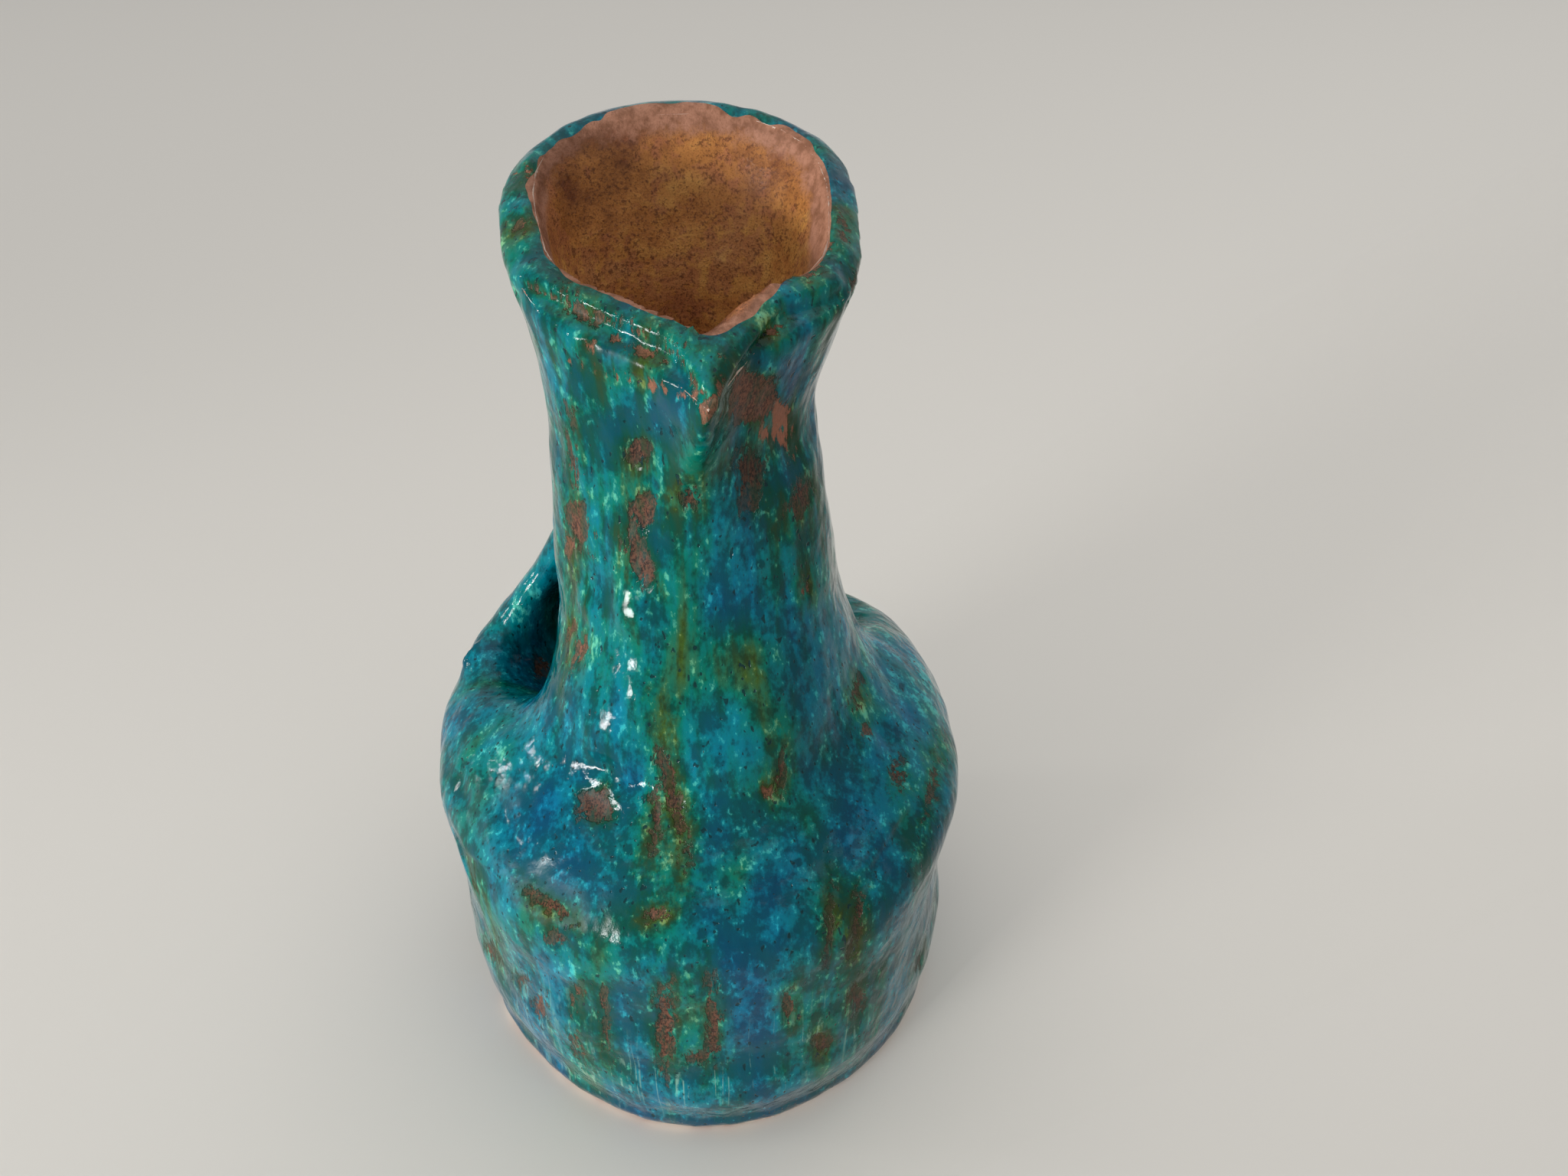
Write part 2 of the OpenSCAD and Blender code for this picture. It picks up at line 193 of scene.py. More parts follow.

# Deep blue pools outside, painted shade under the lip beside the beak and in the hollow, and dark places
# inside, some of them painted shade, in photo pixels: across, down, half sizes, strength
BLUE_POOLS_AND_PAINTED_SHADE = (
    (810, 178, 75, 34, 1.0), (735, 250, 25, 80, 0.6), (1000, 225, 60, 60, 0.9), (860, 400, 60, 30, 0.6),
    (725, 1070, 50, 80, 0.8), (800, 568, 18, 35, 1.0), (760, 930, 45, 60, 0.6), (1025, 620, 30, 40, 0.9),
    (1040, 500, 25, 30, 1.0), (985, 800, 45, 50, 0.7), (930, 780, 30, 35, 0.8),
    (1110, 1050, 50, 90, 0.8), (1190, 950, 40, 50, 1.0), (740, 1140, 40, 40, 0.7),
    (820, 1320, 24, 80, 0.9), (985, 1335, 22, 75, 1.2), (850, 1430, 45, 25, 0.8),
    (1000, 1430, 40, 22, 0.8), (950, 1250, 50, 40, 0.6), (745, 470, 40, 60, 0.7),
    (885, 520, 22, 26, 1.0), (850, 545, 40, 40, 0.9), (1010, 475, 35, 20, 1.2), (1105, 330, 25, 70, 0.5),
    (670, 270, 25, 70, 0.4), (830, 1010, 22, 30, 0.9), (1020, 1150, 35, 30, 0.7),
    (810, 1170, 45, 40, 0.4), (1080, 830, 35, 60, 0.6), (1100, 1120, 40, 40, 0.6),
    (700, 870, 30, 40, 1.0),
)

# Thin, green or olive places, in the same form
GREEN_PLACES = (
    (848, 476, 30, 16, 0.7), (905, 600, 30, 60, 0.7), (830, 630, 30, 40, 0.6), (930, 880, 50, 50, 0.8),
    (985, 860, 30, 40, 0.8), (1050, 760, 40, 60, 0.6), (1140, 790, 45, 30, 0.8),
    (1120, 930, 20, 60, 0.8), (1215, 890, 25, 50, 0.7), (885, 830, 20, 80, 0.7),
    (880, 1050, 34, 70, 0.9), (1000, 1020, 30, 30, 0.9), (966, 1146, 18, 40, 1.3),
    (1095, 1210, 35, 50, 0.8), (1060, 1150, 30, 30, 0.5), (770, 1255, 55, 30, 0.7),
    (735, 1195, 45, 22, 0.7), (700, 1180, 35, 30, 0.6), (1030, 1290, 35, 60, 0.7),
    (915, 1340, 50, 60, 1.0), (1080, 1330, 50, 60, 0.6), (870, 1130, 30, 60, 0.5),
    (840, 1200, 60, 20, 0.4), (790, 1400, 60, 40, 0.5), (905, 1425, 40, 25, 0.6),
    (1060, 1390, 50, 25, 0.6), (1190, 1150, 30, 60, 0.6), (1210, 1000, 30, 60, 0.5),
    (1160, 1290, 40, 60, 0.5),
)

# Bright turquoise places, with painted light on the hollow's inner face and on the right side, and, where the
# strength is negative, painted shade under the lip beside the beak, in the same form
BRIGHT_PLACES_AND_PAINTED_LIGHT = (
    (655, 290, 18, 60, 0.7), (700, 385, 40, 14, 0.7), (800, 425, 50, 12, 0.5), (1105, 300, 14, 70, 0.5),
    (1060, 385, 30, 14, 0.5), (1000, 420, 20, 14, 0.5), (912, 490, 14, 34, 0.9), (690, 800, 36, 60, 1.4),
    (765, 1262, 45, 24, 0.8), (966, 1146, 16, 36, 0.7), (868, 1050, 12, 30, 0.5),
    (1050, 1150, 16, 20, 0.5), (790, 1400, 60, 40, 0.6), (905, 1425, 40, 25, 0.6),
    (1060, 1390, 50, 25, 0.5), (1010, 290, 60, 70, 0.8), (900, 160, 40, 20, 0.8),
    (740, 470, 40, 60, 0.8), (780, 660, 22, 110, 0.7), (690, 950, 70, 25, 0.8), (660, 990, 40, 22, 1.2),
    (790, 880, 30, 60, 0.6), (640, 1180, 40, 60, 0.4), (700, 1320, 50, 60, 0.4), (960, 960, 50, 30, 0.5),
    (918, 505, 12, 22, 1.0), (978, 412, 40, 22, 0.7), (1045, 388, 30, 20, 0.6), (884, 522, 20, 24, -1.2),
    (850, 540, 40, 32, -1.0), (800, 575, 20, 35, -0.8), (958, 500, 12, 30, -1.0),
    (920, 560, 40, 14, -0.6), (1120, 850, 60, 90, 1.2), (1190, 930, 50, 80, 1.2),
    (1150, 1050, 50, 70, 0.8),
)

# Places with fine scratches, in the same form
SCRATCHED_PLACES = (
    (905, 1415, 55, 30, 1.0), (1040, 1370, 55, 34, 1.0), (1100, 1330, 40, 34, 0.7),
    (785, 1405, 60, 40, 1.0), (700, 1330, 50, 50, 0.6), (640, 1260, 40, 60, 0.5),
)

# Places where the glaze is dull, in the same form
DULL_PLACES = (
    (730, 1178, 95, 50, 1.0), (640, 1130, 40, 50, 0.7), (803, 467, 40, 16, 0.9),
    (632, 1056, 20, 36, 0.9), (676, 1042, 24, 18, 0.8),
)

# Roll of glaze above the foot: height, reach, thickness and tones, and the bare strip below with its reach
ROLL_HEIGHT = 6.0
ROLL_REACH = 4.0
ROLL_THICKNESS = 0.8
ROLL_TONE = 0.5
ROLL_DARKNESS = 0.8
BARE_STRIP = 2.2
STRIP_REACH = 3
FOOT_REACH = 4

# Heights over which the glaze turns bluer down the wall, and by how much
BODY_TONE = 0.5
BODY_TONE_SPAN = (190, 130)

# Bare patches and tones on the sides that the photo doesn't show: lean, depth, level, stretch and sizes
HIDDEN_LEAN = (0.15, -0.05)
HIDDEN_DEPTH = 6.0
HIDDEN_LEVEL = 0.72
HIDDEN_STRETCH = np.array([1.0, 1.0, 2.2])
HIDDEN_PATCH_SIZE = 15.0
HIDDEN_TONE_SIZE = 30.0
HIDDEN_TONE = 1.0

# Clay that evens the waist at the sides: height on the wall, reach and thickness
WAIST_HEIGHT = 51.0
WAIST_REACH = 15.0
WAIST_FILL = 3.0

# Ledge-like folds along the shoulder's edge, in photo pixels, from end to end
FOLDS = (
    ((575, 1040), (592, 1075), (610, 1112), (648, 1140), (697, 1167)),
    ((1104, 1172), (1130, 1140), (1156, 1100), (1182, 1060), (1204, 1030)),
)
FOLD_SHAPE = {"rise": 0.9, "drop": 0.6, "width": 7.0, "ends": 0.4}

# Outer edges of the rim, down to the beak's tip, in the same form
LIP_EDGES = (
    ((666, 362), (717, 382), (778, 411), (834, 436), (885, 462), (902, 490), (926, 530)),
    ((934, 530), (946, 500), (967, 462), (992, 424), (1023, 402), (1074, 388), (1109, 372)),
)
LIP_SHAPE = {"rise": 1.7, "drop": 1.2, "width": 3.4, "ends": 0.08}

# Bare clay on the rim's top at the back: width, depth, and where it fades out, in photo pixels across
BACK_BARE = 5.0
BACK_DEPTH = 10.0
BACK_LEFT = (730, 770)
BACK_RIGHT = (980, 930)

# Places along Y over which the sides of the rim give way to its back and to the beak
BACK_SPAN = (5, 30)
BEAK_SPAN = (-12, -30)

# Inner edge of the glaze at the beak, in the same form, with the bare band's width, reach, depth, and the
# painted shade on the rim's top inside the edge
FRONT_EDGE = (
    (760, 374), (809, 398), (843, 415), (881, 434), (910, 446), (924, 450),
    (939, 446), (968, 427), (997, 403), (1026, 379), (1040, 367),
)
FRONT_BAND = 1.2
FRONT_REACH = 15.0
FRONT_DEPTH = 14.0
FRONT_SHARE = 0.98
FRONT_PAINTED_SHADE = 1.2

# Bare band inside the rim: width at the sides, narrowing at the back and the beak, and width of its edge
BAND_WIDTH = 10.0
BAND_NARROWING = 0.55
BAND_EDGE = 7.0

# Tab of the beak between its two edges, in the same form, with a painted highlight along its left edge and a
# darker line along the groove on its right
TAB_EDGES = (
    ((876, 452), (896, 476), (910, 500), (929, 531)),
    ((931, 531), (943, 505), (961, 475), (985, 446)),
)
TAB_HEIGHT = 2.2
TAB_WIDTH = 7.0
TAB_EDGE = 0.8
TAB_PAINTED_HIGHLIGHT = 1.6
TAB_PAINTED_HIGHLIGHT_AT = -1.0
TAB_PAINTED_HIGHLIGHT_WIDTH = 1.5
TAB_GROOVE = 2.0
TAB_GROOVE_AT = 1.5
TAB_GROOVE_WIDTH = 2.0

# Flat top that ledges and the tab have before they fall away, the ledges' edge, and their undercut
LEDGE_TOP = 2.0
LEDGE_EDGE = 1.5
UNDERCUT_WIDTH = 0.7
UNDERCUT_EDGE = 1.0

# Pits in the glaze, in photo pixels, with the painted shade in them and the paleness and size of their rings
PITS = (
    (882, 527), (991, 735), (870, 649), (783, 1105), (989, 1266), (917, 1219), (1118, 1103), (1175, 899),
    (846, 1042), (900, 1262), (822, 1110), (1040, 1128), (934, 705), (1002, 612), (795, 1150),
)
PIT_PAINTED_SHADE = 2.4
PIT_PALENESS = 1.0
PIT_RADIUS = 5.0

# Broken lines along which the glaze is worn through, in the same form
WORN_LINES = (
    ((690, 374), (740, 396), (800, 421), (850, 444), (888, 466), (908, 500), (928, 528)),
    ((926, 532), (934, 515), (941, 498)),
)
WORN_HALF_WIDTH = 0.6
WORN_FADE = 2.0
WORN_PINKNESS = 0.5

# Creases pressed into the clay, in the same form
CREASES = (
    ((618, 980), (639, 954), (664, 942), (700, 936)),
    ((654, 1038), (666, 1075), (680, 1115)),
    ((752, 1014), (772, 994), (800, 1000), (824, 1024), (846, 1012), (858, 988)),
    ((934, 533), (954, 496), (983, 465), (1003, 445)),
    ((1108, 765), (1124, 815), (1140, 858), (1165, 900), (1195, 930)),
    ((1120, 935), (1150, 960), (1172, 985)),
    ((600, 1000), (604, 1030), (612, 1062)),
)
CREASE_DEPTH = 0.9
CREASE_WIDTH = 2.6
CREASE_ENDS = 0.3
CREASE_BANK = 0.4
CREASE_BANK_AT = 2.2


def lattice(cell, seed):
    """Repeatable values from 0 to 1 at whole-number points."""
    n = cell[:, 0] * 73856093 ^ cell[:, 1] * 19349663 ^ cell[:, 2] * 83492791 ^ seed * 40503
    n = ((n ^ (n >> 13)) * 1274126177) & 0xFFFFFFFF
    return ((n ^ (n >> 15)) & 0xFFFF) / 0xFFFF


def noise(points, size, seed):
    """Smooth noise from -1 to 1 with lumps of the given size."""
    q = points / size
    cell = np.floor(q).astype(np.int64)
    part = q - cell
    part = part * part * (3 - 2 * part)
    total = np.zeros(len(points))
    for corner in itertools.product((0, 1), repeat=3):
        weight = np.prod(np.where(corner, part, 1 - part), axis=1)
        total += weight * lattice(cell + corner, seed)
    return 2 * total - 1


def fractal(points, size, seed, octaves=3, shift=17.3, finer=0.47, lower=0.5):
    """Noise with finer and lower noise added at each octave."""
    total = np.zeros(len(points))
    height = 1.0
    for octave in range(octaves):
        total += height * noise(points + shift * octave, size, seed + octave)
        size = size * finer
        height *= lower
    return total


def ease(value, low, high):
    """Smooth step from 0 at low to 1 at high."""
    part = np.clip((value - low) / (high - low), 0, 1)
    return part * part * (3 - 2 * part)


def gauss(distance, width):
    """Bell curve of a distance."""
    return np.exp(-((distance / width) ** 2))


def camera_axes():
    """Right, up and forward directions of the photo's camera."""
    heading = math.radians(HEADING)
    pitch = math.radians(PITCH)
    roll = math.radians(ROLL)
    forward = Vector((
        math.sin(heading) * math.cos(pitch),
        math.cos(heading) * math.cos(pitch),
        -math.sin(pitch),
    ))
    level_right = forward.cross(Vector((0, 0, 1))).normalized()
    level_up = level_right.cross(forward)
    right = math.cos(roll) * level_right + math.sin(roll) * level_up
    up = math.cos(roll) * level_up - math.sin(roll) * level_right
    return right, up, forward


def add_camera():
    """Adds the camera that fits the photo."""
    right, up, forward = camera_axes()
    data = bpy.data.cameras.new("photo_camera")
    data.sensor_fit = "HORIZONTAL"
    data.sensor_width = SENSOR_MM
    data.lens = FOCAL_PIXELS / PHOTO_WIDTH * SENSOR_MM
    data.clip_start = CLIP_START
    camera = bpy.data.objects.new("photo_camera", data)
    turn = Matrix((right, up, -forward)).transposed()
    camera.matrix_world = Matrix.Translation(CAMERA_AT * MM) @ turn.to_4x4()
    scene.collection.objects.link(camera)
    scene.camera = camera


def photo_pixels(points):
    """Photo pixel across and down of each point, and its depth before the camera."""
    right, up, forward = (np.array(axis) for axis in camera_axes())
    away = points - np.array(CAMERA_AT)
    depth = away @ forward
    across = PHOTO_WIDTH / 2 + FOCAL_PIXELS * (away @ right) / depth
    down = PHOTO_HEIGHT / 2 - FOCAL_PIXELS * (away @ up) / depth
    return across, down, depth


def node_arrays(name):
    """Vertices, in millimetres, and triangles of a node."""
    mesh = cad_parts[name].data
    mesh.calc_loop_triangles()
    places = np.empty(len(mesh.vertices) * 3)
    mesh.vertices.foreach_get("co", places)
    corners = np.empty(len(mesh.loop_triangles) * 3, dtype=np.int32)
    mesh.loop_triangles.foreach_get("vertices", corners)
    return places.reshape(-1, 3) / MM, corners.reshape(-1, 3)


def joined(parts):
    """Vertices and triangles of several parts as one."""
    places = []
    triangles = []
    start = 0
    for place, corners in parts:
        places.append(place)
        triangles.append(corners + start)
        start += len(place)
    return np.concatenate(places), np.concatenate(triangles)


def node_tree(*names):
    """Search tree of the named nodes' faces."""
    places, triangles = joined([node_arrays(name) for name in names])
    return BVHTree.FromPolygons(places.tolist(), triangles.tolist())


def ball_arrays(middle, radius):
    """Vertices and triangles of a ball."""
    ball = bmesh.new()
    bmesh.ops.create_icosphere(ball, subdivisions=3, radius=radius)
    places = np.array([vertex.co[:] for vertex in ball.verts]) + np.array(middle)
    ball.verts.index_update()
    triangles = np.array([[vertex.index for vertex in face.verts] for face in ball.faces])
    ball.free()
    return places, triangles


def one_surface():
    """Even quad surface around all nodes together: vertices in millimetres and quads."""
    parts = [node_arrays(name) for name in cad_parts]
    handle, sides = node_arrays("back_handle")
    out = np.empty(handle.size)
    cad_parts["back_handle"].data.vertices.foreach_get("normal", out)
    parts.append((handle + HANDLE_GROWTH * out.reshape(-1, 3), sides))
    parts += [ball_arrays(middle, radius) for middle, radius in THUMBED_CLAY]
    places, triangles = joined(parts)
    mesh = bpy.data.meshes.new("whole")
    mesh.from_pydata((places * MM).tolist(), [], triangles.tolist())
    whole = bpy.data.objects.new("whole", mesh)
    scene.collection.objects.link(whole)
    remesh = whole.modifiers.new("even", "REMESH")
    remesh.mode = "VOXEL"
    remesh.voxel_size = GRID * MM
    shown = whole.evaluated_get(bpy.context.evaluated_depsgraph_get())
    even = shown.to_mesh()
    place = np.empty(len(even.vertices) * 3)
    even.vertices.foreach_get("co", place)
    quads = np.array([face.vertices[:] for face in even.polygons if len(face.vertices) == 4])
    shown.to_mesh_clear()
    bpy.data.objects.remove(whole)
    bpy.data.meshes.remove(mesh)
    return place.reshape(-1, 3) / MM, quads


def quad_sides(quads):
    """The four sides of each quad, as pairs of vertices."""
    return np.concatenate([quads[:, [k, (k + 1) % 4]] for k in range(4)])


def quad_edges(quads):
    """Each edge of the quads once."""
    return np.unique(np.sort(quad_sides(quads), axis=1), axis=0)


def neighbour_mean(values, edges, count):
    """Mean of each vertex's neighbours."""
    columns = values.reshape(count, -1)
    total = np.zeros_like(columns)
    for k in range(columns.shape[1]):
        total[:, k] += np.bincount(edges[:, 0], columns[edges[:, 1], k], count)
        total[:, k] += np.bincount(edges[:, 1], columns[edges[:, 0], k], count)
    degree = np.bincount(edges.ravel(), minlength=count)
    mean = total / np.maximum(degree, 1)[:, None]
    return mean.reshape(values.shape)


def smoothed(values, edges, passes, share=0.5):
    """Values evened out over the surface."""
    count = len(values)
    weight = np.broadcast_to(np.asarray(share, dtype=float), (count,))
    if values.ndim == 2:
        weight = weight[:, None]
    for _ in range(passes):
        values = values + weight * (neighbour_mean(values, edges, count) - values)
    return values


def surface_normals(places, quads):
    """Unit normal at each vertex."""
    one = places[quads[:, 2]] - places[quads[:, 0]]
    two = places[quads[:, 3]] - places[quads[:, 1]]
    face = np.cross(one, two)
    total = np.zeros_like(places)
    for k in range(4):
        for axis in range(3):
            total[:, axis] += np.bincount(quads[:, k], face[:, axis], len(places))
    length = np.linalg.norm(total, axis=1)
    return total / np.maximum(length, 1e-9)[:, None]


def distances(tree, places):
    """Distance from each place to the tree's nearest face."""
    return np.array([tree.find_nearest(place)[3] for place in places.tolist()])


def signed_distances(tree, places):
    """Distance from each place to the tree's nearest face, negative behind it."""
    found = np.empty(len(places))
    for i, place in enumerate(places.tolist()):
        nearest, normal, _, distance = tree.find_nearest(place)
        ahead = (Vector(place) - nearest).dot(normal)
        found[i] = math.copysign(distance, ahead)
    return found


class View:
    """What the photo's camera sees of the surface, for placing what the photo shows."""

    depth_reach = 45.0
    least_lean = 0.03
    pixel_reach = 7
    stray_size = 5.0
    stray_down_size = 8.0
    ragged_across = 0.45
    ragged_down = 0.35
    squareness = 3
    far_inside = -99.0
    far_below = 1e6

    def __init__(self, places, normals):
        self.across, self.down, self.depth = photo_pixels(places)
        towards = np.array(CAMERA_AT) - places
        towards /= np.linalg.norm(towards, axis=1)[:, None]
        self.lean = np.einsum("ij,ij->i", towards, normals)
        self.facing = self.lean > self.least_lean
        self.pixel_mm = self.depth / FOCAL_PIXELS
        self.stray = fractal(places, self.stray_size, seed=71)
        self.stray_down = fractal(places, self.stray_down_size, seed=83)

    def reached(self, across, down):
        """Vertices near the surface that shows at a pixel."""
        near = self.facing & (np.hypot(self.across - across, self.down - down) < self.pixel_reach)
        if not near.any():
            return near
        return self.facing & (np.abs(self.depth - self.depth[near].min()) < self.depth_reach)

    def patch(self, across, down, half_width, half_height, turn):
        """Distance in millimetres into a ragged, squarish patch turned clockwise, negative outside it."""
        cos, sin = math.cos(math.radians(turn)), math.sin(math.radians(turn))
        dx, dy = self.across - across, self.down - down
        x = dx * cos + dy * sin + self.ragged_across * half_width * self.stray
        y = dy * cos - dx * sin + self.ragged_down * half_height * self.stray_down
        power = self.squareness
        share = (np.abs(x / half_width) ** power + np.abs(y / half_height) ** power) ** (1 / power)
        inside = (1 - share) * min(half_width, half_height) * self.pixel_mm
        return np.where(self.reached(across, down), inside, self.far_inside)

    def glows(self, spots):
        """Sum of soft places, each with its own strength."""
        total = np.zeros(len(self.depth))
        for across, down, half_width, half_height, strength in spots:
            share = np.hypot((self.across - across) / half_width, (self.down - down) / half_height)
            total += np.where(self.reached(across, down), strength * gauss(share, 1.0), 0.0)
        return total

    def line(self, points):
        """Signed distance in millimetres below a line and the share of its length, for each vertex."""
        best = np.full(len(self.depth), np.inf)
        signed = np.zeros(len(self.depth))
        along = np.zeros(len(self.depth))
        lengths = [math.dist(a, b) for a, b in zip(points, points[1:])]
        start = 0.0
        for (x0, y0), (x1, y1), length in zip(points, points[1:], lengths):
            ux, uy = (x1 - x0) / length, (y1 - y0) / length
            dx, dy = self.across - x0, self.down - y0
            t = np.clip(dx * ux + dy * uy, 0, length)
            gap = np.hypot(dx - t * ux, dy - t * uy)
            side = np.sign(ux * dy - uy * dx)
            closer = gap < best
            best = np.where(closer, gap, best)
            signed = np.where(closer, side * gap, signed)
            along = np.where(closer, (start + t) / sum(lengths), along)
            start += length
        x, y = points[len(points) // 2]
        signed = np.where(self.reached(x, y), signed * self.pixel_mm, self.far_below)
        return signed, along


def photo_features(view, flow):
    """Bare patches, pinkness, tones with painted shade, brightness with painted light and shade, scratches
    and dull places that the photo shows, for each vertex.
    """
    bare = np.full(len(flow), -BARE_LIMIT)
    pink = np.zeros(len(flow))
    for *patch, pinkness in BARE_PATCHES:
        inside = view.patch(*patch)
        pink = np.where(inside > bare, pinkness, pink)
        bare = np.maximum(bare, inside)
    for points in WORN_LINES:
        below, _ = view.line(points)
        inside = WORN_HALF_WIDTH - WORN_FADE * np.abs(below)
        pink = np.where(inside > bare, WORN_PINKNESS, pink)
        bare = np.maximum(bare, inside)
    hidden = ease(view.lean, *HIDDEN_LEAN)
    unrolled = flow / HIDDEN_STRETCH
    strewn = HIDDEN_DEPTH * (fractal(unrolled, HIDDEN_PATCH_SIZE, seed=91) - HIDDEN_LEVEL)
    bare = np.maximum(bare, strewn * hidden - BARE_LIMIT * (1 - hidden))
    tone_and_painted_shade = hidden * HIDDEN_TONE * fractal(unrolled, HIDDEN_TONE_SIZE, seed=97, octaves=2)
    # Blue pools and painted shade under the lip, in the hollow and inside darken the tone; green places thin
    # it
    tone_and_painted_shade += view.glows(BLUE_POOLS_AND_PAINTED_SHADE) - view.glows(GREEN_PLACES)
    # Pale places with painted light, and painted shade where the strength is negative
    bright_and_painted_light = view.glows(BRIGHT_PLACES_AND_PAINTED_LIGHT)
    left, right = tab_sides(view)
    # Painted highlight along the tab's left edge, and darker along the groove on its right
    bright_and_painted_light += TAB_PAINTED_HIGHLIGHT * gauss(left - TAB_PAINTED_HIGHLIGHT_AT, TAB_PAINTED_HIGHLIGHT_WIDTH)
    bright_and_painted_light -= TAB_GROOVE * gauss(right - TAB_GROOVE_AT, TAB_GROOVE_WIDTH)
    # Painted shade in the pits, with pale rings around them
    for across, down in PITS:
        away = np.hypot(view.across - across, view.down - down)
        ring = PIT_PALENESS * gauss(away - 2 * PIT_RADIUS, PIT_RADIUS)
        ring -= PIT_PAINTED_SHADE * gauss(away, PIT_RADIUS)
        bright_and_painted_light += np.where(view.facing, ring, 0)
    return {
        "bare": np.clip(bare, -BARE_LIMIT, BARE_LIMIT),
        "pink": pink,
        "tone_and_painted_shade": np.clip(tone_and_painted_shade, -TONE_LIMIT, TONE_LIMIT),
        "bright_and_painted_light": np.clip(bright_and_painted_light, DARK_LIMIT, BRIGHT_LIMIT),
        "scratched": np.clip(view.glows(SCRATCHED_PLACES), 0, 1),
        "dull": np.clip(view.glows(DULL_PLACES), 0, 1),
    }


def fold_height(view):
    """Height of the folds and creases that the photo shows."""
    height = np.zeros(len(view.depth))
    for points in FOLDS:
        height += ledge(view, points, **FOLD_SHAPE)
    lips = [ledge(view, points, **LIP_SHAPE) for points in LIP_EDGES]
    lips.append(tab_height(view))
    height += np.maximum.reduce(lips) + np.minimum(np.minimum.reduce(lips), 0)
    for points in CREASES:
        below, along = view.line(points)
        groove = gauss(below, CREASE_WIDTH)
        banks = CREASE_BANK * gauss(np.abs(below) - CREASE_BANK_AT * CREASE_WIDTH, CREASE_WIDTH)
        height += CREASE_DEPTH * tapered(along, CREASE_ENDS) * (banks - groove)
    return height


def tapered(along, ends):
    """Share that fades out towards both ends of a line."""
    return ease(along, 0, ends) * ease(1 - along, 0, ends)


def ledge(view, points, rise, drop, width, ends):
    """Height of a ledge along a line: raised above it and drawn in below it."""
    below, along = view.line(points)
    above = rise * gauss(np.minimum(below + LEDGE_TOP, 0), width)
    above *= ease(-below, -LEDGE_EDGE, LEDGE_EDGE)
    under = drop * gauss(np.maximum(below - LEDGE_TOP, 0), UNDERCUT_WIDTH * width)
    under *= ease(below, -UNDERCUT_EDGE, LEDGE_EDGE)
    return tapered(along, ends) * (above - under)


def tab_sides(view):
    """Distances below the tab's left and right edges, negative inside the tab."""
    return [view.line(points)[0] for points in TAB_EDGES]


def tab_height(view):
    """Height of the beak's tab, raised above both of its edges."""
    left, right = tab_sides(view)
    inside = ease(-left, -TAB_EDGE, TAB_EDGE) * ease(-right, -TAB_EDGE, TAB_EDGE)
    inward = np.minimum(np.maximum(left, right) + LEDGE_TOP, 0)
    return TAB_HEIGHT * inside * gauss(inward, TAB_WIDTH)


def bulge_height(places):
    """Height of the places where the wall stands out."""
    height = np.zeros(len(places))
    for middle, reach, rise in BULGES:
        height += rise * gauss(np.linalg.norm(places - np.array(middle), axis=1), reach)
    return height


def polar(places):
    """Angle round the axis, from the beak on, and distance from the axis."""
    return np.arctan2(places[:, 0], -places[:, 1]), np.hypot(places[:, 0], places[:, 1])


def past_rim_edge(places, inside, under_rim):
    """Distance of the rim's top from its bare inner edge, away from the axis."""
    angle, radius = polar(places)
    sector = ((angle / (2 * math.pi) + 0.5) * RIM_SECTORS).astype(int) % RIM_SECTORS
    near = inside & (under_rim < RIM_EDGE_DEPTH)
    edge = np.zeros(RIM_SECTORS)
    np.maximum.at(edge, sector[near], radius[near])
    edge = (np.roll(edge, 1) + edge + np.roll(edge, -1)) / 3
    return radius - edge[sector]


def wash_share(places, under_rim):
    """How far the wash covers the inside: below 0.5 in the bare band under the rim, above it further down."""
    back = ease(places[:, 1], *BACK_SPAN)
    front = ease(places[:, 1], *BEAK_SPAN)
    band = BAND_WIDTH * (1 - BAND_NARROWING * np.maximum(back, front))
    return np.clip((under_rim - band) / BAND_EDGE + HALF, *WASH_LIMITS)


def flow_places(places):
    """Places unrolled round the axis, so that streaks run down the wall."""
    angle, radius = polar(places)
    down = places[:, 2] - FLOW_LEAN * radius
    return np.stack([FLOW_RADIUS * np.sin(angle), -FLOW_RADIUS * np.cos(angle), down], axis=1)


def closed_shell(places, quads, normals, thickness):
    """Quads with an inner copy and walls along their open edges."""
    count = len(places)
    both = np.concatenate([places, places - thickness * normals])
    turned = quads[:, ::-1] + count
    pairs = quad_sides(quads)
    key = np.sort(pairs, axis=1)
    _, first, times = np.unique(key, axis=0, return_index=True, return_counts=True)
    rim = pairs[first[times == 1]]
    walls = np.stack([rim[:, 1], rim[:, 0], rim[:, 0] + count, rim[:, 1] + count], axis=1)
    return both, np.concatenate([quads, turned, walls])


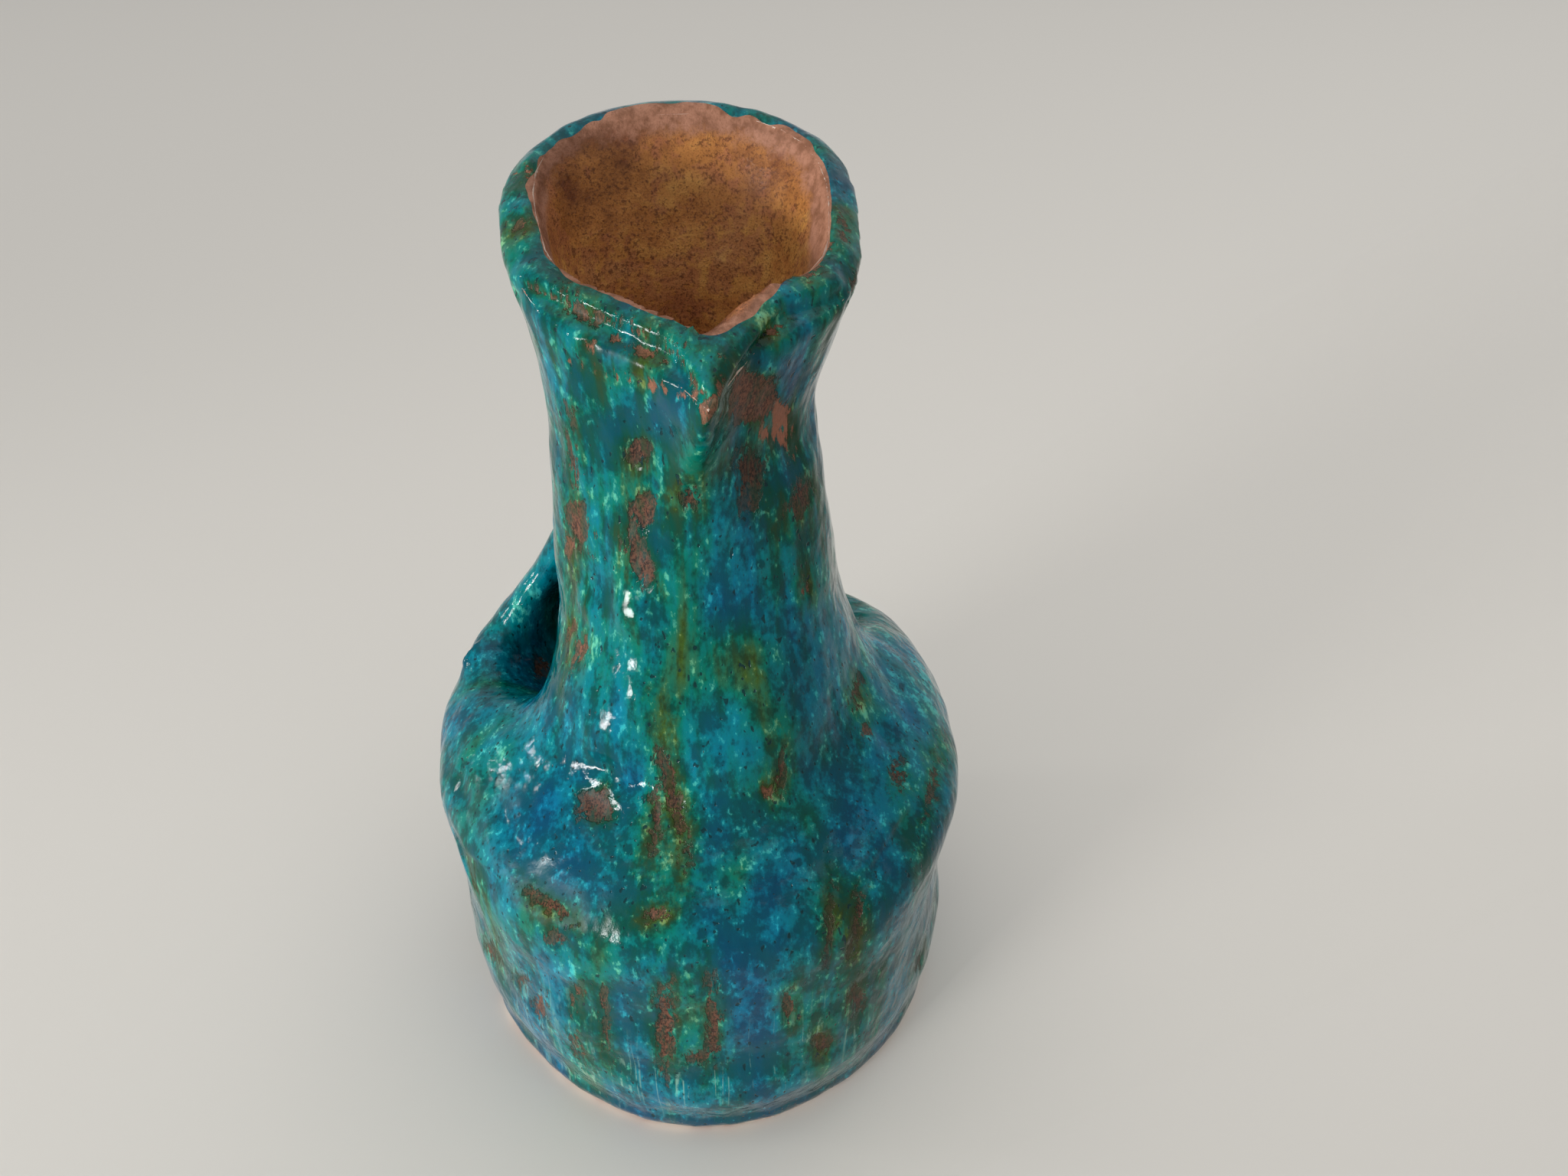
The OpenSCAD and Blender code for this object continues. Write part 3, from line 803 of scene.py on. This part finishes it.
def add_part(places, normals, values, name, faces, thickness, material, slot, replaced):
    """Adds faces as a closed piece with its point values, riding on the one body."""
    used, index = np.unique(faces, return_inverse=True)
    places, quads = closed_shell(places[used], index.reshape(-1, 4), normals[used], thickness)
    mesh = bpy.data.meshes.new(name)
    mesh.vertices.add(len(places))
    mesh.vertices.foreach_set("co", (places * MM).ravel())
    mesh.loops.add(quads.size)
    mesh.loops.foreach_set("vertex_index", quads.ravel())
    mesh.polygons.add(len(quads))
    mesh.polygons.foreach_set("loop_start", np.arange(0, quads.size, 4))
    mesh.polygons.foreach_set("use_smooth", np.ones(len(quads), dtype=bool))
    mesh.update(calc_edges=True)
    mesh.validate()
    for key, value in values.items():
        kind, field = ("FLOAT_VECTOR", "vector") if value.ndim == 2 else ("FLOAT", "value")
        layer = mesh.attributes.new(key, kind, "POINT")
        both = np.concatenate([value[used], value[used]])
        layer.data.foreach_set(field, both.astype(np.float32).ravel())
    mesh.set_sharp_from_angle(angle=math.radians(SHARP_ANGLE))
    mesh.materials.append(material)
    piece = bpy.data.objects.new(name, mesh)
    scene.collection.objects.link(piece)
    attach(piece, "root")
    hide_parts(*replaced)


def glaze_share(places, edges):
    """Share of the glaze at each vertex, evened out at its edges."""
    to_glaze = distances(node_tree("glaze_coat"), places)
    others = (("inner_wash",), ("beak_lip", "neck"), ("base_slab",))
    to_others = np.min([distances(node_tree(*names), places) for names in others], axis=0)
    return smoothed((to_glaze <= to_others).astype(float), edges, COAT_PASSES)


def evened(places, quads, edges, under_rim):
    """Places with the facets evened out, less at the lip's edges, and their normals."""
    soft = ease(under_rim, *SHARP_LIP) * ease(places[:, 2], *SHARP_FOOT)
    places = smoothed(places, edges, FACET_PASSES, HALF * ease(places[:, 2], *SHARP_GROUND))
    places = smoothed(places, edges, WALL_PASSES, HALF * soft)
    normals = smoothed(surface_normals(places, quads), edges, NORMAL_PASSES)
    return places, normals / np.linalg.norm(normals, axis=1)[:, None]


def skin_height(places, view, glazed, bare, relief, ragged, roll):
    """Height of the hand-worked clay, with the glaze's own thickness on it."""
    outside = ease(glazed, *OUTSIDE_SPAN)
    lumps = LUMP_HEIGHT * fractal(places, LUMP_SIZE, seed=11, octaves=2)
    inner_lumps = fractal(places, INNER_LUMP_SIZE, seed=53)
    height = outside * (lumps + RELIEF_HEIGHT * relief) + (1 - outside) * INNER_LUMP_HEIGHT * inner_lumps
    height += fold_height(view)
    height += bulge_height(places)
    side = np.abs(places[:, 0]) / np.hypot(places[:, 0], places[:, 1])
    height += WAIST_FILL * outside * side * gauss(places[:, 2] - WAIST_HEIGHT, WAIST_REACH)
    height -= PATCH_DEPTH * ease(bare + PATCH_RAGGED * ragged, *PATCH_SPAN)
    height += GLAZE_EDGE * ease(glazed + GLAZE_EDGE_RAGGED * ragged, *GLAZE_EDGE_SPAN)
    height *= 1 - FOOT_CALM * ease(places[:, 2], *FOOT_CALM_SPAN)
    height += ROLL_THICKNESS * roll
    return np.where(places[:, 2] < GROUND_HEIGHT, 0, height)


def cleared(places, normals, edges):
    """Places moved out until they are clear of the clay underneath, and up to the ground."""
    clay_tree = node_tree(*CLAY_NODES, "base_slab")
    for _ in range(CLEARING_PASSES):
        short = np.clip(CLEARANCE - signed_distances(clay_tree, places), 0, CLEARING_STEP)
        places = places + smoothed(short, edges, CLEARING_SPREAD)[:, None] * normals
    places[:, 2] = np.maximum(places[:, 2], 0)
    return places


def glaze_cover(places, view, glazed, under_rim, ragged, front_rim, past_front):
    """How far the glaze covers each vertex, with ragged edges at the rim, the beak and the foot."""
    height = places[:, 2]
    cover = glazed + LIP_RAGGED * ragged * (height > LIP_RAGGED_FROM) + COAT_RAGGED * ragged
    back_rim = ease(places[:, 1], *BACK_SPAN) * (under_rim < BACK_DEPTH)
    back_rim *= ease(view.across, *BACK_LEFT) * ease(view.across, *BACK_RIGHT)
    past_edge = past_rim_edge(places, glazed < HALF, under_rim)
    worn_rim = past_edge / BACK_BARE + STRIP_RAGGED * ragged
    cover = np.where(back_rim > 0, np.minimum(cover, worn_rim - back_rim + 1), cover)
    beak = HALF + HALF * past_front + BEAK_RAGGED * ragged
    cover = np.where(front_rim, np.minimum(cover, beak), cover)
    above_strip = (height - BARE_STRIP) / BARE_STRIP - STRIP_RAGGED * ragged + HALF
    return np.where(height < STRIP_REACH * BARE_STRIP, np.minimum(cover, above_strip), cover)


def add_skins(glaze, wash, clay):
    """Builds the glaze skin, the inner skin and the foot from one smooth surface."""
    places, quads = one_surface()
    edges = quad_edges(quads)
    glazed = glaze_share(places, edges)
    under_rim = RIM_HEIGHT + RIM_SLOPE * places[:, 1] - places[:, 2]
    places, normals = evened(places, quads, edges, under_rim)

    # What the photo shows, and the roll of glaze above the foot
    view = View(places, normals)
    flow = flow_places(places)
    values = photo_features(view, flow)
    roll = gauss(places[:, 2] - ROLL_HEIGHT, ROLL_REACH)
    values["tone_and_painted_shade"] += BODY_TONE * ease(places[:, 2], *BODY_TONE_SPAN) + ROLL_TONE * roll
    values["bright_and_painted_light"] -= ROLL_DARKNESS * roll

    # Hand-worked relief, kept clear of the clay underneath
    dabs = fractal(flow / DAB_STRETCH, DAB_SIZE, seed=23, octaves=2)
    strokes = noise(flow / STROKE_STRETCH, STROKE_SIZE, seed=37)
    relief = DAB_SHARE * dabs + STROKE_SHARE * strokes
    ragged = fractal(places, RAGGED_SIZE, seed=41)
    height = skin_height(places, view, glazed, values["bare"], relief, ragged, roll)
    places = cleared(places + (SKIN_LIFT + height)[:, None] * normals, normals, edges)

    # Share the faces out, with ragged but even edges
    past_front, along_front = view.line(FRONT_EDGE)
    front_rim = (np.abs(past_front) < FRONT_REACH) & (under_rim < FRONT_DEPTH)
    front_rim &= np.abs(along_front - HALF) < HALF * FRONT_SHARE
    cover = glaze_cover(places, view, glazed, under_rim, ragged, front_rim, past_front)
    face_glaze = cover[quads].mean(axis=1) > HALF
    low = places[:, 2] < FOOT_REACH * BARE_STRIP
    face_foot = (~face_glaze) & low[quads].all(axis=1) & (under_rim[quads].mean(axis=1) > 0)
    face_inner = ~(face_glaze | face_foot)
    kind = face_glaze * 1 + face_inner * 2
    for _ in range(BORDER_PASSES):
        places = eased_borders(places, quads, kind)
    normals = surface_normals(places, quads)

    # What the materials read
    values["flow"] = flow / CM
    values["relief"] = relief
    values["steep"] = ease(1 - np.abs(normals[:, 2]), *STEEP_SPAN)
    washed = wash_share(places, under_rim)
    inside_edge = np.clip(HALF - (past_front + FRONT_BAND) / FRONT_BAND, *WASH_LIMITS)
    values["washed"] = np.where(front_rim, np.maximum(washed, inside_edge), washed)
    # Painted shade: the wash on the rim's top inside the beak's edge is darkened
    values["tone_and_painted_shade"] = np.where(front_rim & (past_front < 0), FRONT_PAINTED_SHADE, values["tone_and_painted_shade"])
    for part in (
        ("glaze_skin", quads[face_glaze], SKIN_THICKNESS, glaze, "turquoise_glaze", ["glaze_coat"]),
        ("inner_skin", quads[face_inner], SKIN_THICKNESS, wash, "ochre_wash", ["inner_wash"]),
        ("foot", quads[face_foot], FOOT_THICKNESS, clay, "bare_clay", ["base_slab"]),
    ):
        add_part(places, normals, values, *part)


def eased_borders(places, quads, kind):
    """Places with the vertices between two kinds of face moved towards their neighbours on the border."""
    kinds = np.tile(kind, 4)
    key = np.sort(quad_sides(quads), axis=1)
    order = np.lexsort((key[:, 1], key[:, 0]))
    key, kinds = key[order], kinds[order]
    same = (key[1:] == key[:-1]).all(axis=1)
    border = key[1:][same & (kinds[1:] != kinds[:-1])]
    count = len(places)
    degree = np.bincount(border.ravel(), minlength=count)
    mean = neighbour_mean(places, border, count)
    return np.where((degree > 1)[:, None], HALF * places + HALF * mean, places)


class Graph:
    """Shader nodes of one material, made with short calls."""

    def __init__(self, name):
        self.material = bpy.data.materials.new(name)
        self.material.use_nodes = True
        self.tree = self.material.node_tree
        self.shader = self.tree.nodes["Principled BSDF"]

    def out(self, kind, inputs, output=0, **settings):
        """Output of a new node, with its inputs linked or set."""
        made = self.tree.nodes.new(kind)
        for key, value in settings.items():
            setattr(made, key, value)
        for key, value in inputs.items():
            self.put(made.inputs[key], value)
        return made.outputs[output]

    def put(self, socket, value):
        """Links a socket, or sets a constant."""
        if isinstance(value, bpy.types.NodeSocket):
            self.tree.links.new(value, socket)
        elif isinstance(value, tuple) and len(value) == 3 and socket.type == "RGBA":
            socket.default_value = (*value, 1.0)
        else:
            socket.default_value = value

    def attribute(self, name, output="Fac"):
        return self.out("ShaderNodeAttribute", {}, output, attribute_name=name)

    def math(self, operation, a, b=0.0):
        return self.out("ShaderNodeMath", {0: a, 1: b}, operation=operation)

    def scaled(self, vector, scale):
        return self.out("ShaderNodeVectorMath", {0: vector, 1: scale}, operation="MULTIPLY")

    def place(self, scale):
        """Place on the object, scaled."""
        return self.scaled(self.out("ShaderNodeTexCoord", {}, "Object"), scale)

    def noise(self, vector, scale, detail, roughness=0.5, distortion=0.0):
        inputs = {"Vector": vector, "Scale": scale, "Detail": detail}
        inputs |= {"Roughness": roughness, "Distortion": distortion}
        return self.out("ShaderNodeTexNoise", inputs)

    def step(self, value, low, high, to_low=0.0, to_high=1.0):
        """Smooth step of a value between two limits."""
        inputs = {"Value": value, "From Min": low, "From Max": high, "To Min": to_low, "To Max": to_high}
        return self.out("ShaderNodeMapRange", inputs, interpolation_type="SMOOTHSTEP")

    def ramp(self, value, stops):
        made = self.out("ShaderNodeValToRGB", {0: value})
        elements = made.node.color_ramp.elements
        while len(elements) < len(stops):
            elements.new(0.5)
        for element, (place, colour) in zip(elements, stops):
            element.position = place
            element.color = (*colour, 1.0)
        return made

    def mix(self, share, a, b):
        return self.out("ShaderNodeMix", {0: share, 6: a, 7: b}, 2, data_type="RGBA")

    def bump(self, height, distance):
        return self.out("ShaderNodeBump", {"Distance": distance, "Height": height})

    def total(self, start, *terms):
        """Start plus each value times its weight."""
        for value, weight in terms:
            start = self.out("ShaderNodeMath", {0: value, 1: weight, 2: start}, operation="MULTIPLY_ADD")
        return start

    def shaded(self, inputs):
        """The material, with its shader's inputs linked or set."""
        for key, value in inputs.items():
            self.put(self.shader.inputs[key], value)
        return self.material


# Colours as linear red, green and blue
CLAY_DARK = (0.016, 0.010, 0.008)
CLAY_BROWN = (0.060, 0.031, 0.020)
CLAY_PINK = (0.32, 0.120, 0.068)
CLAY_PALE = (0.60, 0.47, 0.38)
GLAZE_DEEP = (
    (0.10, (0.022, 0.040, 0.007)),
    (0.36, (0.000, 0.055, 0.036)),
    (0.64, (0.000, 0.062, 0.085)),
    (0.90, (0.000, 0.048, 0.100)),
)
GLAZE_MIDDLE = (
    (0.10, (0.040, 0.085, 0.013)),
    (0.36, (0.000, 0.135, 0.092)),
    (0.64, (0.000, 0.145, 0.190)),
    (0.90, (0.000, 0.115, 0.205)),
)
GLAZE_PALE = (
    (0.10, (0.220, 0.310, 0.100)),
    (0.36, (0.110, 0.430, 0.260)),
    (0.64, (0.030, 0.400, 0.410)),
    (0.90, (0.006, 0.260, 0.420)),
)
GLAZE_SCRATCH = (0.30, 0.48, 0.36)
# Colour of the painted shade in the pits
GLAZE_PIT_PAINTED_SHADE = (0.002, 0.022, 0.026)
WASH_STOPS = (
    (0.00, (0.160, 0.052, 0.018)),
    (0.40, (0.440, 0.180, 0.048)),
    (0.65, (0.560, 0.275, 0.072)),
    (1.00, (0.620, 0.360, 0.130)),
)
WASH_SPECK = (0.080, 0.026, 0.010)
WASH_THIN = (0.350, 0.125, 0.060)
RIM_PINK = (0.36, 0.170, 0.105)
RIM_BROWN = (0.19, 0.080, 0.042)

# Centimetres on the object, drawn out down the wall for the glaze and its waves, and plain
GLAZE_PLACE = (100.0, 100.0, 54.0)
WAVE_PLACE = (100.0, 100.0, 85.0)
PLAIN_PLACE = (100.0, 100.0, 100.0)

# How far noise is drawn out down the wall
BROAD_FLOW = (1.0, 1.0, 0.25)
STREAK_FLOW = (1.0, 1.0, 0.13)
SCRATCH_FLOW = (1.0, 1.0, 0.03)
EDGE_FLOW = (1.0, 1.0, 0.6)

# Gloss, and height of the bumps in metres
GLAZE_ROUGHNESS = 0.05
GLAZE_IOR = 1.24
GLAZE_BUMP = 0.0008
WASH_ROUGHNESS = 0.62
WASH_IOR = 1.3
WASH_BUMP = 0.0006
CLAY_ROUGHNESS = 0.75
CLAY_BUMP = 0.0005


def glaze_material():
    """Glossy mottled glaze that thins to olive and breaks to bare clay."""
    g = Graph("turquoise_glaze")
    flow = g.attribute("flow", "Vector")
    relief = g.attribute("relief")
    place = g.place(GLAZE_PLACE)
    broad = g.noise(g.scaled(flow, BROAD_FLOW), 0.65, 2.0, 0.55, 0.3)
    streak = g.total(-0.5, (g.noise(g.scaled(flow, STREAK_FLOW), 2.0, 3.0, 0.55), 1.0))
    streak = g.total(0.5, (g.math("MULTIPLY", streak, g.attribute("steep")), 1.0))
    mottle = g.noise(place, 1.0, 3.0, 0.58, 0.2)
    cloud = g.noise(place, 2.2, 5.0, 0.6)
    fleck = g.noise(place, 4.6, 4.0, 0.62)
    grit = g.noise(place, 8.0, 2.0, 0.6)
    edge = g.noise(g.scaled(place, EDGE_FLOW), 3.6, 4.0, 0.68)

    bare_edge = g.total(g.attribute("bare"), (edge, 10.0), (mottle, 2.0), (fleck, 3.0))
    bare = g.step(bare_edge, 7.2, 8.2)
    halo = g.step(bare_edge, 3.7, 7.9)
    specks = g.step(g.total(0.0, (fleck, 0.75), (mottle, 0.4)), 0.80, 0.83)
    bare = g.math("MAXIMUM", bare, specks)

    tone_and_painted_shade = g.attribute("tone_and_painted_shade")
    bright_and_painted_light = g.attribute("bright_and_painted_light")
    # Hue and value take the tone's blue pools and painted shade and the brightness's painted light and shade
    hue = g.total(-0.62, (broad, 1.0), (streak, 0.65), (mottle, 0.55), (tone_and_painted_shade, 0.24), (halo, -0.20))
    value = g.total(-1.41, (cloud, 1.5), (fleck, 0.75), (grit, 0.56), (streak, 0.70), (relief, 0.22))
    value = g.total(value, (tone_and_painted_shade, -0.12), (bright_and_painted_light, 0.25), (halo, -0.06))
    deep = g.ramp(hue, GLAZE_DEEP)
    pale = g.ramp(hue, GLAZE_PALE)
    colour = g.mix(g.step(value, 0.14, 0.52), deep, g.ramp(hue, GLAZE_MIDDLE))
    # Pale glaze where the value is high: thin or worn glaze, and painted light where the brightness raises it
    worn = g.step(value, 0.60, 0.92)
    colour = g.mix(worn, colour, pale)
    flecks = g.total(0.0, (fleck, 0.5), (cloud, 0.3), (grit, 0.2), (halo, 0.02))
    colour = g.mix(g.step(flecks, 0.56, 0.63, 0.0, 0.5), colour, pale)

    ridge = g.total(-0.5, (g.noise(g.scaled(flow, SCRATCH_FLOW), 3.6, 1.0), 1.0))
    ridge = g.math("ABSOLUTE", ridge)
    scratch = g.math("MULTIPLY", g.step(ridge, 0.0, 0.035, 0.5, 0.0), g.attribute("scratched"))
    scratch = g.math("MULTIPLY", scratch, g.step(cloud, 0.46, 0.56))
    colour = g.mix(scratch, colour, GLAZE_SCRATCH)
    # Pits: small dark specks of painted shade, with a slight dent in the bump
    pits_and_painted_shade = g.step(g.noise(place, 6.0, 1.0), 0.27, 0.32, 0.85, 0.0)
    colour = g.mix(pits_and_painted_shade, colour, GLAZE_PIT_PAINTED_SHADE)

    grain = g.noise(place, 16.0, 4.0, 0.75)
    pink = g.attribute("pink")
    clay = g.mix(pink, CLAY_BROWN, CLAY_PINK)
    clay = g.mix(g.math("MULTIPLY", g.step(cloud, 0.50, 0.66), 0.2), clay, CLAY_PINK)
    browner = g.total(1.0, (g.math("POWER", pink, 2.0), -0.8))
    clay = g.mix(g.math("MULTIPLY", g.step(grain, 0.44, 0.58), browner), clay, CLAY_DARK)
    film = g.math("MULTIPLY", g.step(edge, 0.46, 0.60, 0.0, 0.6), browner)
    clay = g.mix(film, clay, deep)
    colour = g.mix(bare, colour, clay)

    dull = g.attribute("dull")
    rough = g.total(GLAZE_ROUGHNESS, (bare, 0.36), (halo, 0.06), (worn, 0.03), (dull, 0.5))
    waves = g.noise(g.place(WAVE_PLACE), 1.8, 1.0)
    height = g.total(0.0, (waves, 0.9), (fleck, 0.20), (bare, -0.3), (pits_and_painted_shade, -0.15))
    normal = g.bump(height, GLAZE_BUMP)
    return g.shaded({"Base Color": colour, "Roughness": rough, "IOR": GLAZE_IOR, "Normal": normal})


def wash_material():
    """Speckled satin ochre inside, with a bare pinkish band under the rim."""
    g = Graph("ochre_wash")
    place = g.place(PLAIN_PLACE)
    broad = g.noise(place, 0.45, 3.0, 0.55)
    cloud = g.noise(place, 1.6, 4.0, 0.65)
    speck = g.noise(place, 10.0, 3.0, 0.65)
    fine = g.noise(place, 18.0, 3.0, 0.7)
    edge = g.noise(place, 2.4, 4.0, 0.65)
    washed = g.step(g.total(g.attribute("washed"), (edge, 1.2)), 0.75, 1.35)

    tone_and_painted_shade = g.attribute("tone_and_painted_shade")
    bright_and_painted_light = g.attribute("bright_and_painted_light")
    # The ochre's shade takes painted shade from the tone and painted light and shade from the brightness
    shade = g.total(-0.45, (broad, 0.9), (cloud, 1.0), (tone_and_painted_shade, -0.45), (bright_and_painted_light, 0.2))
    ochre = g.ramp(shade, WASH_STOPS)
    thin = g.step(g.total(0.0, (broad, 0.5), (edge, 0.5)), 0.47, 0.56, 0.0, 0.6)
    ochre = g.mix(thin, ochre, WASH_THIN)
    specks = g.step(g.total(0.0, (speck, 0.85), (edge, 0.3)), 0.60, 0.70, 0.0, 0.65)
    ochre = g.mix(specks, ochre, WASH_SPECK)
    ochre = g.mix(g.step(fine, 0.52, 0.62, 0.0, 0.5), ochre, WASH_SPECK)
    pink = g.mix(g.step(g.total(0.0, (cloud, 0.6), (edge, 0.4)), 0.42, 0.60), RIM_PINK, RIM_BROWN)
    pink = g.mix(g.math("MULTIPLY", g.step(fine, 0.52, 0.66), 0.5), pink, RIM_BROWN)
    colour = g.mix(washed, pink, ochre)
    rough = g.total(WASH_ROUGHNESS, (washed, -0.2))
    normal = g.bump(g.total(0.0, (cloud, 0.8), (speck, 0.25), (fine, 0.08)), WASH_BUMP)
    return g.shaded({"Base Color": colour, "Roughness": rough, "IOR": WASH_IOR, "Normal": normal})


def clay_material():
    """Pale matt fired clay."""
    g = Graph("bare_clay")
    place = g.place(PLAIN_PLACE)
    cloud = g.noise(place, 1.5, 4.0, 0.6)
    fine = g.noise(place, 18.0, 3.0, 0.6)
    colour = g.mix(g.step(cloud, 0.35, 0.7), CLAY_PALE, CLAY_PINK)
    colour = g.mix(g.math("MULTIPLY", g.step(fine, 0.58, 0.72), 0.5), colour, CLAY_BROWN)
    normal = g.bump(g.total(0.0, (fine, 0.4), (cloud, 0.4)), CLAY_BUMP)
    return g.shaded({"Base Color": colour, "Roughness": CLAY_ROUGHNESS, "Normal": normal})


# Studio, in metres and watts: pale floor, soft room light, a ceiling, a fill and windows to the left
FLOOR_HALF = 2.5
FLOOR_DROP = 0.0002
FLOOR_ROUGHNESS = 0.8
FLOOR_COLOUR = (0.74, 0.705, 0.645)
ROOM_COLOUR = (0.95, 0.97, 1.0)
ROOM_STRENGTH = 0.30
BACKGROUND_STRENGTH = 0.62
CEILING_SIDE = 5.0
CEILING_AT = Vector((0, 0, 3.0))
CEILING_WATTS = 69.0
FILL_SIDE = 2.5
FILL_WATTS = 5.0
FILL_AT = Vector((2.0, 1.0, 1.5))
PANE_WIDTH = 0.11
PANE_HEIGHT = 0.13
PANE_STEP = 0.14
PANE_COLUMNS = 4
PANE_ROWS = 2
PANE_WATTS = 0.18
PANE_SPREAD = 36.0
WINDOW_DISTANCE = 2.0
WINDOW_AIM = 0.15

# Azimuth, elevation and size of each window
WINDOWS = ((-57.0, 3.0, 1.25), (-100.0, 6.0, 0.4))


def add_floor():
    """Adds the pale floor."""
    mesh = bpy.data.meshes.new("floor")
    half = FLOOR_HALF
    corners = [(-half, -half, 0), (half, -half, 0), (half, half, 0), (-half, half, 0)]
    mesh.from_pydata(corners, [], [(0, 1, 2, 3)])
    floor = bpy.data.objects.new("floor", mesh)
    floor.location.z = -FLOOR_DROP
    scene.collection.objects.link(floor)
    plain = bpy.data.materials.new("floor")
    plain.use_nodes = True
    shader = plain.node_tree.nodes["Principled BSDF"]
    shader.inputs["Base Color"].default_value = (*FLOOR_COLOUR, 1.0)
    shader.inputs["Roughness"].default_value = FLOOR_ROUGHNESS
    mesh.materials.append(plain)


def add_room():
    """Adds the room's light, brighter where the camera, a reflection or a clear thing shows it."""
    world = bpy.data.worlds.new("room")
    world.use_nodes = True
    tree = world.node_tree
    room = tree.nodes["Background"]
    room.inputs["Color"].default_value = (*ROOM_COLOUR, 1.0)
    rays = tree.nodes.new("ShaderNodeLightPath")
    strength = tree.nodes.new("ShaderNodeMapRange")
    strength.inputs["To Min"].default_value = ROOM_STRENGTH
    strength.inputs["To Max"].default_value = BACKGROUND_STRENGTH
    seen = rays.outputs["Is Camera Ray"]
    for kind in ("Is Glossy Ray", "Is Transmission Ray"):
        either = tree.nodes.new("ShaderNodeMath")
        either.operation = "MAXIMUM"
        tree.links.new(seen, either.inputs[0])
        tree.links.new(rays.outputs[kind], either.inputs[1])
        seen = either.outputs[0]
    tree.links.new(seen, strength.inputs["Value"])
    tree.links.new(strength.outputs["Result"], room.inputs["Strength"])
    scene.world = world


def lamp(name, side, watts):
    """A square lamp's light."""
    made = bpy.data.lights.new(name, "AREA")
    made.size = side
    made.energy = watts
    return made


def hang(name, light, place, turn):
    """Hangs a light at a place, turned."""
    hung = bpy.data.objects.new(name, light)
    hung.location = place
    hung.rotation_euler = turn.to_euler()
    scene.collection.objects.link(hung)


def add_studio():
    """Adds the floor, the room's light, the lamps and the windows."""
    add_floor()
    add_room()
    hang("ceiling", lamp("ceiling", CEILING_SIDE, CEILING_WATTS), CEILING_AT, Quaternion())
    hang("fill", lamp("fill", FILL_SIDE, FILL_WATTS), FILL_AT, FILL_AT.to_track_quat("Z", "Y"))
    for azimuth, elevation, size in WINDOWS:
        add_window(math.radians(azimuth), math.radians(elevation), size)


def add_window(azimuth, elevation, size):
    """Adds a window of panes that faces the vase."""
    pane = lamp("pane", size * PANE_WIDTH, size * size * PANE_WATTS)
    pane.shape = "RECTANGLE"
    pane.size_y = size * PANE_HEIGHT
    pane.spread = math.radians(PANE_SPREAD)
    away = Vector((
        math.sin(azimuth) * math.cos(elevation),
        -math.cos(azimuth) * math.cos(elevation),
        math.sin(elevation),
    ))
    turn = away.to_track_quat("Z", "Y")
    middle = Vector((0, 0, WINDOW_AIM)) + away * WINDOW_DISTANCE
    for column, row in itertools.product(range(PANE_COLUMNS), range(PANE_ROWS)):
        across = (column - (PANE_COLUMNS - 1) / 2) * size * PANE_STEP
        along = (row - (PANE_ROWS - 1) / 2) * size * PANE_STEP
        hang("pane", pane, middle + turn @ Vector((across, along, 0)), turn)


def dress_clay(clay):
    """Gives the clay nodes under the skins the bare clay."""
    for name in CLAY_NODES:
        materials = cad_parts[name].data.materials
        materials.clear()
        materials.append(clay)


scene.view_settings.view_transform = "Standard"
add_camera()
add_studio()
bare_clay = clay_material()
add_skins(glaze_material(), wash_material(), bare_clay)
dress_clay(bare_clay)
